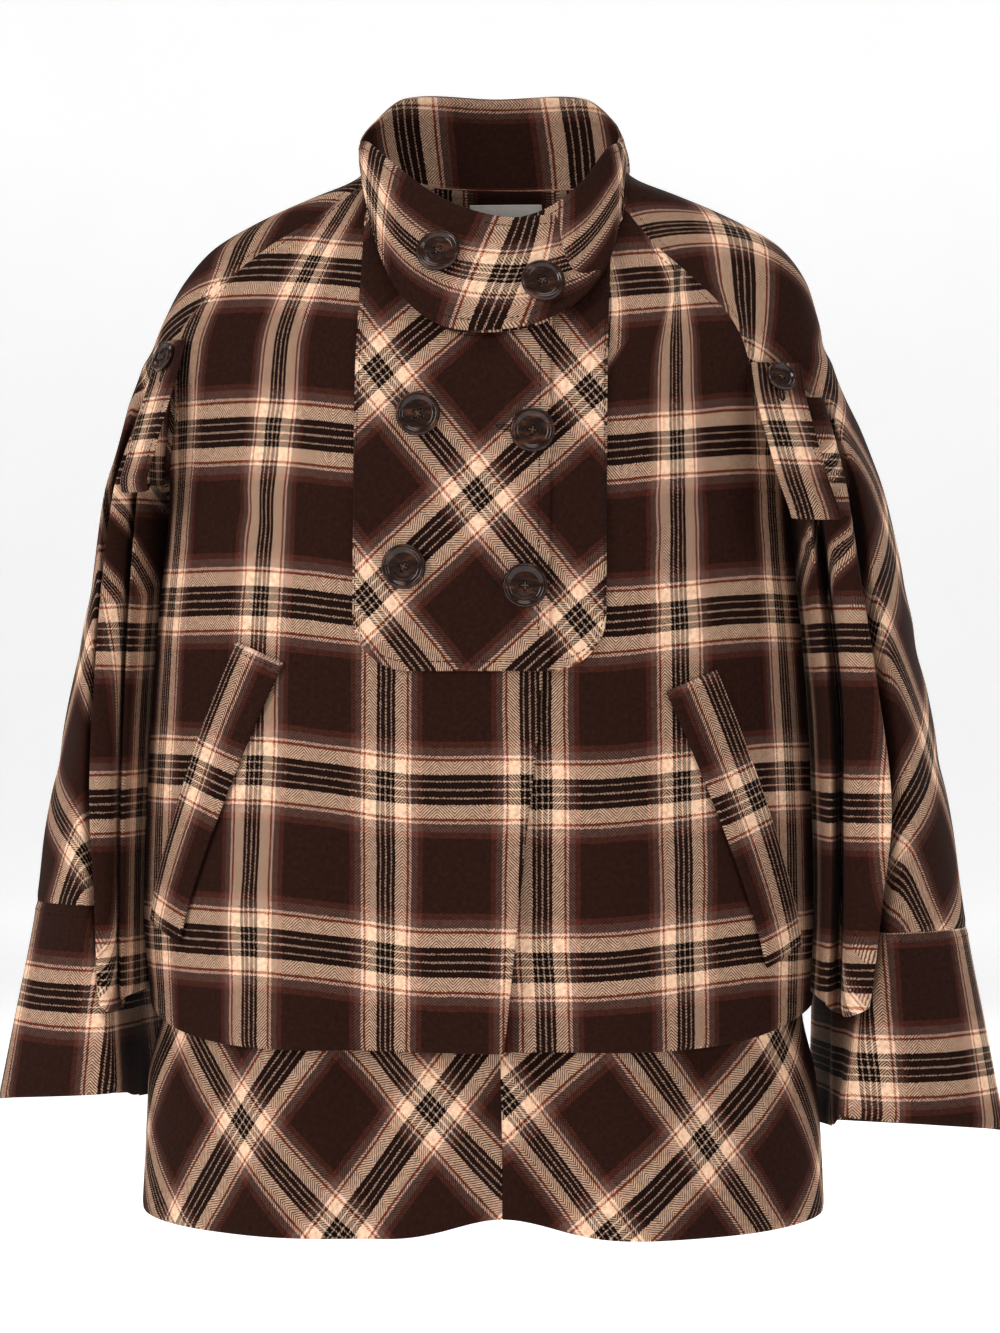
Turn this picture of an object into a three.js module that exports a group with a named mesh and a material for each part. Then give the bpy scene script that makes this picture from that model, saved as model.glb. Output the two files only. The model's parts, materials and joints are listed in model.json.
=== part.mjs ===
import * as THREE from "three";

// A cape coat of checked wool, hollow, in the shape it takes when worn. Sizes are in mm.
// X runs to the viewer's right (the wearer's left), Y to the back and Z up.
// The origin is in the neck, where the coat rests on the shoulders.

// Cloth and seams
const CLOTH = 2.2;
const SEAM_GAP = 0.35;
const LAYER_GAP = 0.8;
const WELT_CLOTH = 3.4;
const LABEL_CLOTH = 1.0;

// Body: how square the ovals are, where the arm slits end and where the hems are
const SQUARENESS = 2.25;
const RAGLAN_END = -105;
const UNDERARM = -198;
const SHELL_HEM = -549;
const SHELL_SIDE_RISE = 21;
const TIER = { hem: -666, sideRise: 6, overlap: 14, tuck: 7, release: 50 };
const SLIT = { x: 17, gap: 1.2, rise: 14, width: 42 };

// Neck seam and the collar's foot outside it, as curves seen from the front: their heights at the middle of the
// front and of the back, and at each shoulder, where they end on the body's outline.
const NECK = { front: -98, back: 6, right: { top: 19, squareness: 2 }, left: { top: 12, squareness: 2.9 } };
const FOOT = { front: -104, back: 1, right: { top: 17, squareness: 2 }, left: { top: 10, squareness: 2.9 } };

// Ovals of the body from the neck down: half width, depth before and behind the middle, sideways shift.
const BODY = [
  { z: 30, half: 68, front: 46, back: 60, shift: 0 },
  { z: 12, half: 84, front: 52, back: 68, shift: 0 },
  { z: 4, half: 95, front: 55, back: 71, shift: 0 },
  { z: -5, half: 118, front: 57.5, back: 75, shift: 0 },
  { z: -15, half: 142, front: 61, back: 79, shift: 0 },
  { z: -28, half: 168, front: 66, back: 85, shift: 0 },
  { z: -40, half: 186, front: 72, back: 91, shift: 0 },
  { z: -60, half: 202, front: 83, back: 100, shift: -1 },
  { z: -80, half: 211, front: 94, back: 108, shift: -3 },
  { z: -100, half: 217, front: 105, back: 114, shift: -5 },
  { z: -120, half: 214, front: 113, back: 119, shift: -7 },
  { z: -150, half: 206, front: 119, back: 124, shift: -9 },
  { z: -200, half: 202, front: 125, back: 128, shift: -10 },
  { z: -300, half: 211, front: 129, back: 131, shift: -10 },
  { z: -400, half: 217, front: 132, back: 135, shift: -10 },
  { z: -470, half: 219, front: 135, back: 139, shift: -10 },
  { z: -530, half: 215, front: 137, back: 141, shift: -9 },
  { z: -560, half: 216, front: 137, back: 142, shift: -9 },
  { z: -610, half: 219, front: 139, back: 144, shift: -8 },
  { z: -670, half: 222, front: 141, back: 147, shift: -8 },
];

// Raglan seams and then armhole edges, as shares of the half width, on each front and on the back.
const RAGLAN = [
  { z: 12, right: 0.86, left: 0.86, back: 0.86 },
  { z: -7, right: 0.75, left: 0.64, back: 0.64 },
  { z: -23, right: 0.72, left: 0.58, back: 0.58 },
  { z: -40, right: 0.76, left: 0.57, back: 0.59 },
  { z: -60, right: 0.82, left: 0.64, back: 0.65 },
  { z: -80, right: 0.88, left: 0.72, back: 0.72 },
  { z: -100, right: 0.905, left: 0.77, back: 0.77 },
  { z: -120, right: 0.915, left: 0.82, back: 0.81 },
  { z: -150, right: 0.945, left: 0.9, back: 0.88 },
  { z: -180, right: 0.985, left: 0.975, back: 0.965 },
  { z: -198, right: 1, left: 1, back: 1 },
];

// Outermost line of the sleeves, the same on both sides.
const ARM_LINE = [
  { z: 12, out: 84 },
  { z: -40, out: 186 },
  { z: -100, out: 219 },
  { z: -120, out: 227 },
  { z: -150, out: 237 },
  { z: -200, out: 251 },
  { z: -260, out: 264 },
  { z: -330, out: 278 },
  { z: -400, out: 291 },
  { z: -478, out: 302 },
  { z: -540, out: 314 },
  { z: -606, out: 327 },
];

// Sleeve tubes below the underarm: inner line, front corner, and how far they reach to the front and the back.
const ARM = {
  right: [
    { z: -120, inner: 212, corner: 213, front: 74, back: 74 },
    { z: -200, inner: 228, corner: 246, front: 60, back: 82 },
    { z: -260, inner: 231, corner: 250, front: 64, back: 88 },
    { z: -330, inner: 233, corner: 256, front: 67, back: 92 },
    { z: -400, inner: 234, corner: 259, front: 69, back: 94 },
    { z: -478, inner: 234, corner: 254, front: 70, back: 96 },
    { z: -606, inner: 234, corner: 236, front: 76, back: 102 },
  ],
  left: [
    { z: -120, inner: 205, corner: 208, front: 74, back: 74 },
    { z: -200, inner: 213, corner: 237, front: 60, back: 82 },
    { z: -260, inner: 214, corner: 246, front: 64, back: 88 },
    { z: -330, inner: 215, corner: 257, front: 67, back: 92 },
    { z: -400, inner: 217, corner: 264, front: 69, back: 94 },
    { z: -478, inner: 218, corner: 256, front: 70, back: 96 },
    { z: -606, inner: 217, corner: 226, front: 76, back: 102 },
  ],
};
const ARM_SEAM_Y = 10;
const ARM_SEAM_HALF_GAP = 0.9;

// Each side of the coat. Right and left are the wearer's, so right is at minus X.
const SIDES = {
  right: { sign: -1, cuffSeam: -463, cuffHem: -590, cuffCornerRise: 9 },
  left: { sign: 1, cuffSeam: -478, cuffHem: -606, cuffCornerRise: 14 },
};
// Where round a cuff its hem rises at the front corner and falls behind, as shares of the ring.
const CUFF_CORNER = { at: 0.3, width: 0.16 };
const CUFF_BACK = { at: 0.7, width: 0.2, drop: 8 };

// Drapes in the arm slits, from the body outward: how far out each fold stands, and how far before the middle.
const DRAPE_OUT = {
  right: [
    { z: -140, ridge: 211, valley: 215, fold: 219, turn: 223, tuck: 226 },
    { z: -200, ridge: 224, valley: 228, fold: 231, turn: 240, tuck: 240 },
    { z: -330, ridge: 231, valley: 234, fold: 238, turn: 250, tuck: 248 },
    { z: -400, ridge: 233, valley: 236, fold: 240, turn: 252, tuck: 250 },
    { z: -460, ridge: 234, valley: 236, fold: 240, turn: 249, tuck: 247 },
    { z: -530, ridge: 235, valley: 238, fold: 241, turn: 247, tuck: 244 },
  ],
  left: [
    { z: -140, ridge: 190, valley: 197, fold: 204, turn: 211, tuck: 215 },
    { z: -200, ridge: 203, valley: 208, fold: 215, turn: 226, tuck: 230 },
    { z: -330, ridge: 217, valley: 224, fold: 230, turn: 249, tuck: 247 },
    { z: -400, ridge: 219, valley: 225, fold: 231, turn: 257, tuck: 252 },
    { z: -460, ridge: 219, valley: 225, fold: 231, turn: 251, tuck: 247 },
    { z: -530, ridge: 216, valley: 223, fold: 230, turn: 243, tuck: 239 },
  ],
};
const DRAPE_BEFORE = {
  right: [
    { z: -140, ridge: 56, valley: 50, fold: 52, turn: 48, tuck: 40 },
    { z: -200, ridge: 60, valley: 40, fold: 58, turn: 64, tuck: 56 },
    { z: -330, ridge: 70, valley: 34, fold: 76, turn: 80, tuck: 68 },
    { z: -460, ridge: 70, valley: 30, fold: 78, turn: 82, tuck: 72 },
    { z: -530, ridge: 62, valley: 46, fold: 80, turn: 80, tuck: 68 },
  ],
  left: [
    { z: -140, ridge: 72, valley: 58, fold: 63, turn: 60, tuck: 52 },
    { z: -200, ridge: 72, valley: 42, fold: 76, turn: 76, tuck: 66 },
    { z: -330, ridge: 72, valley: 30, fold: 78, turn: 82, tuck: 70 },
    { z: -460, ridge: 72, valley: 28, fold: 80, turn: 84, tuck: 74 },
    { z: -530, ridge: 66, valley: 48, fold: 82, turn: 82, tuck: 70 },
  ],
};
const DRAPE_TOP = -140;
const DRAPE_HEM = -512;
const DRAPE_HEM_SAG = 18;
const DRAPE_ROOT = THREE.MathUtils.degToRad(78);

// Front fold: where the pleat's edge lies, how far it stands out, and how far the lap goes under it.
const PLEAT = [
  { z: -90, x: 38, lift: 0 },
  { z: -311, x: 40, lift: 0.5 },
  { z: -420, x: 30, lift: 4 },
  { z: -552, x: 17, lift: 9 },
];
const PLEAT_REACH = 46;
const PLEAT_LAP = 15;

// Soft folds that run down the body. Side is the sign of Y: -1 on the front, 1 on the back.
const FOLDS = [
  { side: -1, top: -300, x: -66, hem: -64, depth: -5, width: 26 },
  { side: -1, top: -330, x: -100, hem: -112, depth: 4, width: 36 },
  { side: -1, top: -300, x: 88, hem: 104, depth: 4.5, width: 34 },
  { side: -1, top: -360, x: 66, hem: 60, depth: -3.5, width: 22 },
  { side: 1, top: -180, x: -70, hem: -92, depth: 6, width: 34 },
  { side: 1, top: -240, x: -20, hem: -24, depth: -5, width: 32 },
  { side: 1, top: -200, x: 48, hem: 62, depth: 6, width: 34 },
  { side: 1, top: -300, x: 110, hem: 128, depth: -4, width: 30 },
];

// Bib: its side edges, its highest and lowest lines, the radius of its lower corners, and where its laps end.
const BIB = { right: -77, left: 79, top: -22, bottom: -312, cornerRadius: 34 };
const BIB_LAP = { overEdge: 44, underStart: 22, step: 12 };
const BIB_LIFT = CLOTH + LAYER_GAP + 0.4;

// Collar: its upper rim goes round from the under end at the front to the over end, past a whole turn.
const COLLAR = { underEnd: -14, overEnd: 404, endSlant: 15, slantStart: 370, lapStart: 285, lapEnd: 345 };
const COLLAR_ROOM = { bib: 6.6, bibEdge: 79, bibFade: 8, shoulder: 2.2, shoulderWidth: 16, belly: 2.5 };
const COLLAR_RIM = [
  { turn: -30, x: -46, y: -76, z: -22 },
  { turn: 0, x: -2, y: -87, z: -30 },
  { turn: 25, x: 36, y: -79, z: -22 },
  { turn: 45, x: 60, y: -65, z: -4 },
  { turn: 67, x: 75, y: -38, z: 20 },
  { turn: 90, x: 82, y: -8, z: 30 },
  { turn: 112, x: 77, y: 24, z: 46 },
  { turn: 135, x: 54, y: 57, z: 65 },
  { turn: 180, x: -6, y: 76, z: 67 },
  { turn: 225, x: -64, y: 54, z: 66 },
  { turn: 248, x: -83, y: 22, z: 46 },
  { turn: 270, x: -88, y: -8, z: 31 },
  { turn: 290, x: -79, y: -36, z: 27 },
  { turn: 313, x: -56, y: -63, z: 8 },
  { turn: 337, x: -30, y: -80, z: -11 },
  { turn: 355, x: -7, y: -87, z: -22 },
  { turn: 372, x: 17, y: -88, z: -27 },
  { turn: 388, x: 40, y: -80, z: -25 },
  { turn: 404, x: 65, y: -63, z: -24 },
  { turn: 430, x: 90, y: -30, z: -15 },
];

// Welts: middle of the top and of the bottom, as shares of the half width, with their heights.
const WELT = { width: 35, lean: 0.36 };
const WELTS = {
  right: { top: 0.612, topZ: -302, bottom: 0.888, bottomZ: -478 },
  left: { top: 0.671, topZ: -320, bottom: 0.91, bottomZ: -492 },
};

// Tabs: their width, the way that each faces in degrees from the front, and the middle line from the top down.
const TAB_WIDTH = 34;
const TAB_BUTTON_DROP = 12;
const TABS = {
  right: {
    facing: -52,
    line: [
      { x: -204.5, y: -52.8, z: -101 },
      { x: -208.6, y: -59.5, z: -122 },
      { x: -215.4, y: -69.4, z: -150 },
      { x: -221.4, y: -77.4, z: -176 },
      { x: -224.4, y: -83.4, z: -192 },
      { x: -223.4, y: -79.4, z: -199 },
      { x: -221.4, y: -74.4, z: -195 },
    ],
  },
  left: {
    facing: 30,
    line: [
      { x: 185, y: -65.6, z: -118 },
      { x: 188, y: -76.4, z: -138 },
      { x: 195, y: -88.3, z: -165 },
      { x: 203, y: -95.3, z: -193 },
      { x: 209, y: -97.3, z: -210 },
      { x: 211, y: -92.3, z: -218 },
      { x: 209.5, y: -87.3, z: -213 },
    ],
  },
};

// Buttons: diameters, thickness, and where the large ones sit, as X and height.
const BUTTON = { large: 28, small: 20, thick: 4.2, dish: 1.1, rim: 0.14 };
const COLLAR_BUTTONS = [
  { turn: 343, rise: 0.56 },
  { turn: 388, rise: 0.36 },
];
const BIB_BUTTONS = [
  { x: -37, z: -153, layers: 1 },
  { x: -45, z: -248, layers: 1 },
  { x: 34, z: -164, layers: 2 },
  { x: 30, z: -260, layers: 2 },
];

const LABEL = { x: 1, halfWidth: 24, top: -2, bottom: -25 };

// Grid rows above the underarm, which panels that meet there share, and below it on the body and the sleeves
const UPPER_ROWS = 11;
const SHELL_ROWS = 7;
const ARM_ROWS = 9;

const WOOL = 0x6d5240;
const BIAS_WOOL = 0x7a5d48;
const CREAM = 0xe9e0d0;
const HORN = 0x33241f;

// Reads a column of a table at a height, on a smooth curve through its rows.
function read(rows, column, at, key = "z") {
  const down = rows[0][key] > rows[rows.length - 1][key] ? -1 : 1;
  const value = (row) => row[column];
  const place = (row) => row[key] * down;
  const t = at * down;
  let i = 0;
  while (i < rows.length - 2 && place(rows[i + 1]) < t) i += 1;
  const [a, b] = [rows[i], rows[i + 1]];
  const before = rows[Math.max(i - 1, 0)];
  const after = rows[Math.min(i + 2, rows.length - 1)];
  const span = place(b) - place(a);
  const s = THREE.MathUtils.clamp((t - place(a)) / span, 0, 1);
  const slopeA = (value(b) - value(before)) / (place(b) - place(before));
  const slopeB = (value(after) - value(a)) / (place(after) - place(a));
  const s2 = s * s;
  const s3 = s2 * s;
  return (
    (2 * s3 - 3 * s2 + 1) * value(a) +
    (s3 - 2 * s2 + s) * span * slopeA +
    (3 * s2 - 2 * s3) * value(b) +
    (s3 - s2) * span * slopeB
  );
}

function mix(a, b, share) {
  return a + (b - a) * share;
}

function ease(from, to, at) {
  return THREE.MathUtils.smoothstep(at, from, to);
}

// A hump that is 1 at the middle and falls softly to 0.
function hump(distance, width) {
  return Math.exp(-((distance / width) ** 2));
}

// The angle round the body, from the front, at which an oval reaches a share of its half width.
function angleAt(share) {
  return Math.asin(Math.min(Math.abs(share), 1) ** (SQUARENESS / 2)) * Math.sign(share);
}

function power(value) {
  return Math.sign(value) * Math.abs(value) ** (2 / SQUARENESS);
}

// A point of an oval seen from above, moved out square to the cloth by an offset.
function ovalPoint(angle, z, halfWidth, offset) {
  const column = Math.cos(angle) > 0 ? "front" : "back";
  const deep = read(BODY, column, z);
  const x = halfWidth * power(Math.sin(angle));
  const y = -deep * power(Math.cos(angle));
  const point = new THREE.Vector3(x + read(BODY, "shift", z), y, z);
  if (offset === 0) return point;
  const growX = (read(BODY, "half", z - 1) - read(BODY, "half", z + 1)) / 2 / halfWidth;
  const growY = (read(BODY, column, z - 1) - read(BODY, column, z + 1)) / 2 / deep;
  const shareX = Math.abs(x) / halfWidth;
  const shareY = Math.abs(y) / deep;
  const out = new THREE.Vector3(
    (Math.sign(x) * shareX ** (SQUARENESS - 1)) / halfWidth,
    (Math.sign(y) * shareY ** (SQUARENESS - 1)) / deep,
    shareX ** SQUARENESS * growX + shareY ** SQUARENESS * growY,
  );
  return point.addScaledVector(out.normalize(), offset);
}

// How far the soft folds move the body's cloth out at a place.
function foldRelief(angle, z) {
  const x = read(BODY, "half", z) * power(Math.sin(angle));
  const side = Math.cos(angle) > 0 ? -1 : 1;
  let relief = 0;
  for (const fold of FOLDS) {
    if (fold.side !== side) continue;
    const grown = THREE.MathUtils.clamp((fold.top - z) / (fold.top - SHELL_HEM), 0, 1);
    relief += fold.depth * grown * hump(x - mix(fold.x, fold.hem, grown), fold.width);
  }
  return relief;
}

// A point of the body's cloth.
function bodyPoint(angle, z, offset = 0) {
  return ovalPoint(angle, z, read(BODY, "half", z), offset + foldRelief(angle, z));
}

// The height of a neck curve at a place seen from above.
function neckCurve(curve, x, y) {
  const { top, squareness } = x < 0 ? curve.right : curve.left;
  const share = Math.min(Math.abs(x) / read(BODY, "half", top), 1);
  const low = y < 0 ? curve.front : curve.back;
  return top - (top - low) * (1 - share ** squareness) ** (1 / squareness);
}

// The height at which a line of the cloth, given as a function of height, meets the neck seam.
function neckHeight(lineAt) {
  let high = 30;
  let low = -130;
  for (let i = 0; i < 30; i += 1) {
    const z = (high + low) / 2;
    const { x, y } = lineAt(z);
    if (z > neckCurve(NECK, x, y)) high = z;
    else low = z;
  }
  return (high + low) / 2;
}

function edgeShare(z, column) {
  return z > UNDERARM ? read(RAGLAN, column, z) : 1;
}

// A small turn round the body that moves a point by a distance.
function turnBy(distance, angle, z) {
  const half = read(BODY, "half", z);
  const deep = read(BODY, "front", z);
  return distance / Math.hypot(half * Math.cos(angle), deep * Math.sin(angle));
}

function shellHem(angle) {
  return SHELL_HEM + SHELL_SIDE_RISE * Math.sin(angle) ** 6;
}

// The height of a grid's row. Panels that meet above the underarm share their rows there, so that seams match.
function rowHeight(v, top, bottom, lowerRows) {
  const row = v * (UPPER_ROWS + lowerRows);
  if (row <= UPPER_ROWS) return mix(top, UNDERARM, row / UPPER_ROWS);
  return mix(UNDERARM, bottom, (row - UPPER_ROWS) / lowerRows);
}

// Makes a closed wall from a grid of outer points, moved in by the thickness.
function wall(name, columns, rows, pointAt, options = {}) {
  const { thickness = CLOTH, ring = false, outward = 1, colour = WOOL } = options;
  const across = ring ? columns : columns + 1;
  const down = rows + 1;
  const outer = [];
  for (let j = 0; j < down; j += 1) {
    for (let i = 0; i < across; i += 1) outer.push(pointAt(i / columns, j / rows));
  }
  const column = (i) => (ring ? (i + columns) % columns : THREE.MathUtils.clamp(i, 0, columns));
  const at = (i, j) => outer[THREE.MathUtils.clamp(j, 0, rows) * across + column(i)];
  const inner = outer.map((point, k) => {
    const i = k % across;
    const j = Math.floor(k / across);
    const sideways = at(i + 1, j).clone().sub(at(i - 1, j));
    const downward = at(i, j + 1).clone().sub(at(i, j - 1));
    const normal = downward.cross(sideways).normalize();
    return point.clone().addScaledVector(normal, -thickness * outward);
  });
  const faces = [];
  const total = outer.length;
  const index = (i, j, layer) => layer * total + j * across + column(i);
  // A quad is cut along its shorter diagonal.
  const reach = (a, b) => outer[a % total].distanceTo(outer[b % total]);
  const quad = (a, b, c, d) => {
    if (reach(a, c) <= reach(b, d)) faces.push(a, b, c, a, c, d);
    else faces.push(a, b, d, b, c, d);
  };
  for (let j = 0; j < rows; j += 1) {
    for (let i = 0; i < columns; i += 1) {
      quad(index(i, j, 0), index(i, j + 1, 0), index(i + 1, j + 1, 0), index(i + 1, j, 0));
      quad(index(i, j, 1), index(i + 1, j, 1), index(i + 1, j + 1, 1), index(i, j + 1, 1));
    }
  }
  for (let i = 0; i < columns; i += 1) {
    quad(index(i, 0, 0), index(i + 1, 0, 0), index(i + 1, 0, 1), index(i, 0, 1));
    quad(index(i, rows, 0), index(i, rows, 1), index(i + 1, rows, 1), index(i + 1, rows, 0));
  }
  if (!ring) {
    for (let j = 0; j < rows; j += 1) {
      quad(index(0, j, 0), index(0, j, 1), index(0, j + 1, 1), index(0, j + 1, 0));
      quad(index(columns, j, 0), index(columns, j + 1, 0), index(columns, j + 1, 1), index(columns, j, 1));
    }
  }
  if (outward < 0) faces.reverse();
  const geometry = new THREE.BufferGeometry();
  const places = [...outer, ...inner].flatMap((point) => point.toArray());
  geometry.setAttribute("position", new THREE.Float32BufferAttribute(places, 3));
  geometry.setIndex(faces);
  geometry.computeVertexNormals();
  return named(name, geometry, colour, 0.9);
}

function named(name, geometry, color, roughness) {
  const mesh = new THREE.Mesh(geometry, new THREE.MeshStandardMaterial({ color, roughness, metalness: 0 }));
  mesh.name = name;
  return mesh;
}

// The pleat's edge as an angle round the body.
function pleatAngle(z) {
  return angleAt((read(PLEAT, "x", z) - read(BODY, "shift", z)) / read(BODY, "half", z));
}

// One front, from its side edge or raglan seam to the pleat's edge.
function front(side) {
  const over = side === "right";
  const sign = SIDES[side].sign;
  const edgeAngle = (z) => {
    const edge = angleAt(edgeShare(z, side));
    return sign * (edge - turnBy(SEAM_GAP, edge, z));
  };
  const middleAngle = (z) => {
    const middle = pleatAngle(z);
    return over ? middle : middle - turnBy(PLEAT_LAP, middle, z);
  };
  const angleOf = (u, z) => {
    const [from, to] = over ? [edgeAngle(z), middleAngle(z)] : [middleAngle(z), edgeAngle(z)];
    return mix(from, to, u);
  };
  const relief = (angle, z) => {
    const beyond = (angle - pleatAngle(z)) / turnBy(1, angle, z);
    if (over) return read(PLEAT, "lift", z) * ease(-PLEAT_REACH, 0, beyond);
    return -(CLOTH + LAYER_GAP) * (1 - ease(0, PLEAT_REACH / 2, beyond));
  };
  const pointAt = (u, v) => {
    const spread = over ? Math.sin((u * Math.PI) / 2) : 1 - Math.cos((u * Math.PI) / 2);
    const share = mix(u, spread, 0.25);
    const top = neckHeight((z) => bodyPoint(angleOf(share, z), z));
    const hem = shellHem(angleOf(share, SHELL_HEM));
    const z = rowHeight(v, top, hem, SHELL_ROWS);
    const angle = angleOf(share, z);
    return bodyPoint(angle, z, relief(angle, z));
  };
  return wall(`front_${side}`, 14, UPPER_ROWS + SHELL_ROWS, pointAt);
}

function back() {
  const edge = (z) => {
    const angle = angleAt(edgeShare(z, "back"));
    return angle - turnBy(SEAM_GAP, angle, z);
  };
  const angleOf = (u, z) => Math.PI + mix(-edge(z), edge(z), u);
  const pointAt = (u, v) => {
    const top = neckHeight((z) => bodyPoint(angleOf(u, z), z));
    const z = rowHeight(v, top, shellHem(angleOf(u, SHELL_HEM)), SHELL_ROWS);
    return bodyPoint(angleOf(u, z), z);
  };
  return wall("back", 21, UPPER_ROWS + SHELL_ROWS, pointAt);
}

// Places on a curve through points, at shares that give each point its own.
function along(points, share) {
  const curve = new THREE.CatmullRomCurve3(points, false, "centripetal");
  return curve.getPoint(share);
}

// The line of a sleeve's cloth at a height, from its front edge round the outside to its back edge.
function armPoints(side, z) {
  const { sign } = SIDES[side];
  const frontEdge = angleAt(edgeShare(z, side));
  const backEdge = Math.PI - angleAt(edgeShare(z, "back"));
  const turnF = turnBy(SEAM_GAP, frontEdge, z);
  const turnB = turnBy(SEAM_GAP, backEdge, z);
  const half = read(BODY, "half", z);
  const out = mix(half, read(ARM_LINE, "out", z), ease(-RAGLAN_END - 10, -RAGLAN_END + 10, -z));
  const high = [0, 1, 2, 3, 4, 5, 6].map((k) => {
    const angle = mix(frontEdge, backEdge, k / 6);
    const wide = mix(half, out, Math.sin(Math.PI * (k / 6)));
    return ovalPoint(sign * angle, z, wide, 0);
  });
  high[0] = ovalPoint(sign * (frontEdge + turnF), z, read(BODY, "half", z), 0);
  high[6] = ovalPoint(sign * (backEdge - turnB), z, read(BODY, "half", z), 0);
  const rows = ARM[side];
  const inner = read(rows, "inner", z);
  const corner = read(rows, "corner", z);
  const before = -read(rows, "front", z);
  const behind = read(rows, "back", z);
  const gap = ARM_SEAM_HALF_GAP;
  const low = [
    [inner, ARM_SEAM_Y - gap],
    [mix(inner, corner, 0.42), mix(ARM_SEAM_Y, before, 0.42)],
    [corner, before],
    [out, mix(before, behind, 0.36)],
    [mix(corner, out, 0.7), behind * 0.86],
    [mix(inner, out, 0.32), behind],
    [inner, ARM_SEAM_Y + gap],
  ].map(([x, y]) => new THREE.Vector3(sign * x, y, z));
  const share = ease(-RAGLAN_END, -UNDERARM, -z);
  const points = high.map((point, k) => point.clone().lerp(low[k], share));
  if (z > UNDERARM) {
    points[0].copy(high[0]);
    points[6].copy(high[6]);
  }
  return points;
}

function sleeve(side) {
  const lineAt = (u, z) => along(armPoints(side, z), u);
  const { cuffSeam, sign } = SIDES[side];
  const pointAt = (u, v) => {
    const top = neckHeight((z) => lineAt(u, z));
    return lineAt(u, rowHeight(v, top, cuffSeam + SEAM_GAP, ARM_ROWS));
  };
  return wall(`sleeve_${side}`, 18, UPPER_ROWS + ARM_ROWS, pointAt, { outward: sign });
}

// The ring of a cuff at a height: the sleeve's line, closed.
function cuff(side) {
  const { sign, cuffSeam, cuffHem, cuffCornerRise } = SIDES[side];
  const pointAt = (u, v) => {
    const corner = cuffCornerRise * hump(u - CUFF_CORNER.at, CUFF_CORNER.width);
    const hem = cuffHem + corner - CUFF_BACK.drop * hump(u - CUFF_BACK.at, CUFF_BACK.width);
    const z = mix(cuffSeam - SEAM_GAP, hem, v);
    const ring = new THREE.CatmullRomCurve3(armPoints(side, z).slice(0, 6), true, "centripetal");
    return ring.getPoint(u);
  };
  return wall(`cuff_${side}`, 24, 4, pointAt, { ring: true, outward: sign });
}

// The folded cloth that hangs in an arm slit, from the body's side to the sleeve's front corner.
function drape(side) {
  const { sign } = SIDES[side];
  const folds = ["ridge", "valley", "fold", "turn", "tuck"];
  const pointAt = (u, v) => {
    const z = mix(DRAPE_TOP, DRAPE_HEM - DRAPE_HEM_SAG * Math.sin(Math.PI * u), v);
    const rootAngle = Math.min(DRAPE_ROOT, angleAt(edgeShare(z, side)));
    const root = bodyPoint(sign * rootAngle, z, CLOTH + LAYER_GAP);
    const points = folds.map(
      (fold) => new THREE.Vector3(sign * read(DRAPE_OUT[side], fold, z), -read(DRAPE_BEFORE[side], fold, z), z),
    );
    const place = along([root, ...points], u);
    place.z = z;
    return place;
  };
  return wall(`drape_${side}`, 15, 10, pointAt, { outward: sign });
}

// A point of the fronts' cloth at a place given by X and height.
function frontPoint(x, z, offset = 0) {
  const angle = angleAt((x - read(BODY, "shift", z)) / read(BODY, "half", z));
  return bodyPoint(angle, z, offset);
}

// How much the rounded corner of the bib lifts its lower edge, at a distance from its side.
function cornerRise(distance) {
  const { cornerRadius: radius } = BIB;
  if (distance > radius) return 0;
  return radius - Math.sqrt(radius ** 2 - (radius - Math.max(distance, 0)) ** 2);
}

function bibPiece(name, from, to, roundSide, liftAt, columns) {
  const pointAt = (u, v) => {
    const x = mix(from, to, u);
    const toSide = roundSide < 0 ? x - from : to - x;
    const top = Math.min(neckHeight((z) => frontPoint(x, z)) - SEAM_GAP, BIB.top);
    const z = mix(top, BIB.bottom + cornerRise(toSide), v ** 1.3);
    return frontPoint(x, z, liftAt(x));
  };
  return wall(name, columns, 14, pointAt, { colour: BIAS_WOOL });
}

function bib() {
  const { overEdge, underStart, step } = BIB_LAP;
  const overLift = (x) => BIB_LIFT + (CLOTH + LAYER_GAP) * ease(underStart - step, underStart - 2, x);
  return [
    bibPiece("bib_over", BIB.right, overEdge, -1, overLift, 12),
    bibPiece("bib_under", underStart, BIB.left, 1, () => BIB_LIFT, 6),
  ];
}

// A point of the collar: turn goes round from the under end to the over end, rise from the foot to the rim.
function collarPoint(turn, rise) {
  const angle = THREE.MathUtils.degToRad(turn);
  const lap = (CLOTH + LAYER_GAP) * ease(COLLAR.lapStart, COLLAR.lapEnd, turn);
  const shoulder = read(BODY, "half", Math.sin(angle) < 0 ? FOOT.right.top : FOOT.left.top);
  const footX = shoulder * Math.sin(angle);
  const before = Math.cos(angle) > 0;
  const footZ = neckCurve(FOOT, footX, before ? -1 : 1);
  const toEdge = angleAt(footX / read(BODY, "half", footZ));
  const { bib: bibRoom, bibEdge, bibFade, belly } = COLLAR_ROOM;
  const overBib = before ? bibRoom * (1 - ease(bibEdge, bibEdge + bibFade, Math.abs(footX))) : 0;
  const overShoulder = COLLAR_ROOM.shoulder * hump(shoulder - Math.abs(footX), COLLAR_ROOM.shoulderWidth);
  const lift = CLOTH + LAYER_GAP + Math.max(overBib, overShoulder) + lap;
  const foot = bodyPoint(before ? toEdge : Math.PI - toEdge, footZ, lift);
  const out = new THREE.Vector3(Math.sin(angle), -Math.cos(angle), 0);
  const [x, y, z] = ["x", "y", "z"].map((axis) => read(COLLAR_RIM, axis, turn, "turn"));
  const rim = new THREE.Vector3(x, y, z).addScaledVector(out, lap);
  return foot.lerp(rim, rise).addScaledVector(out, belly * Math.sin(Math.PI * rise));
}

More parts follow.
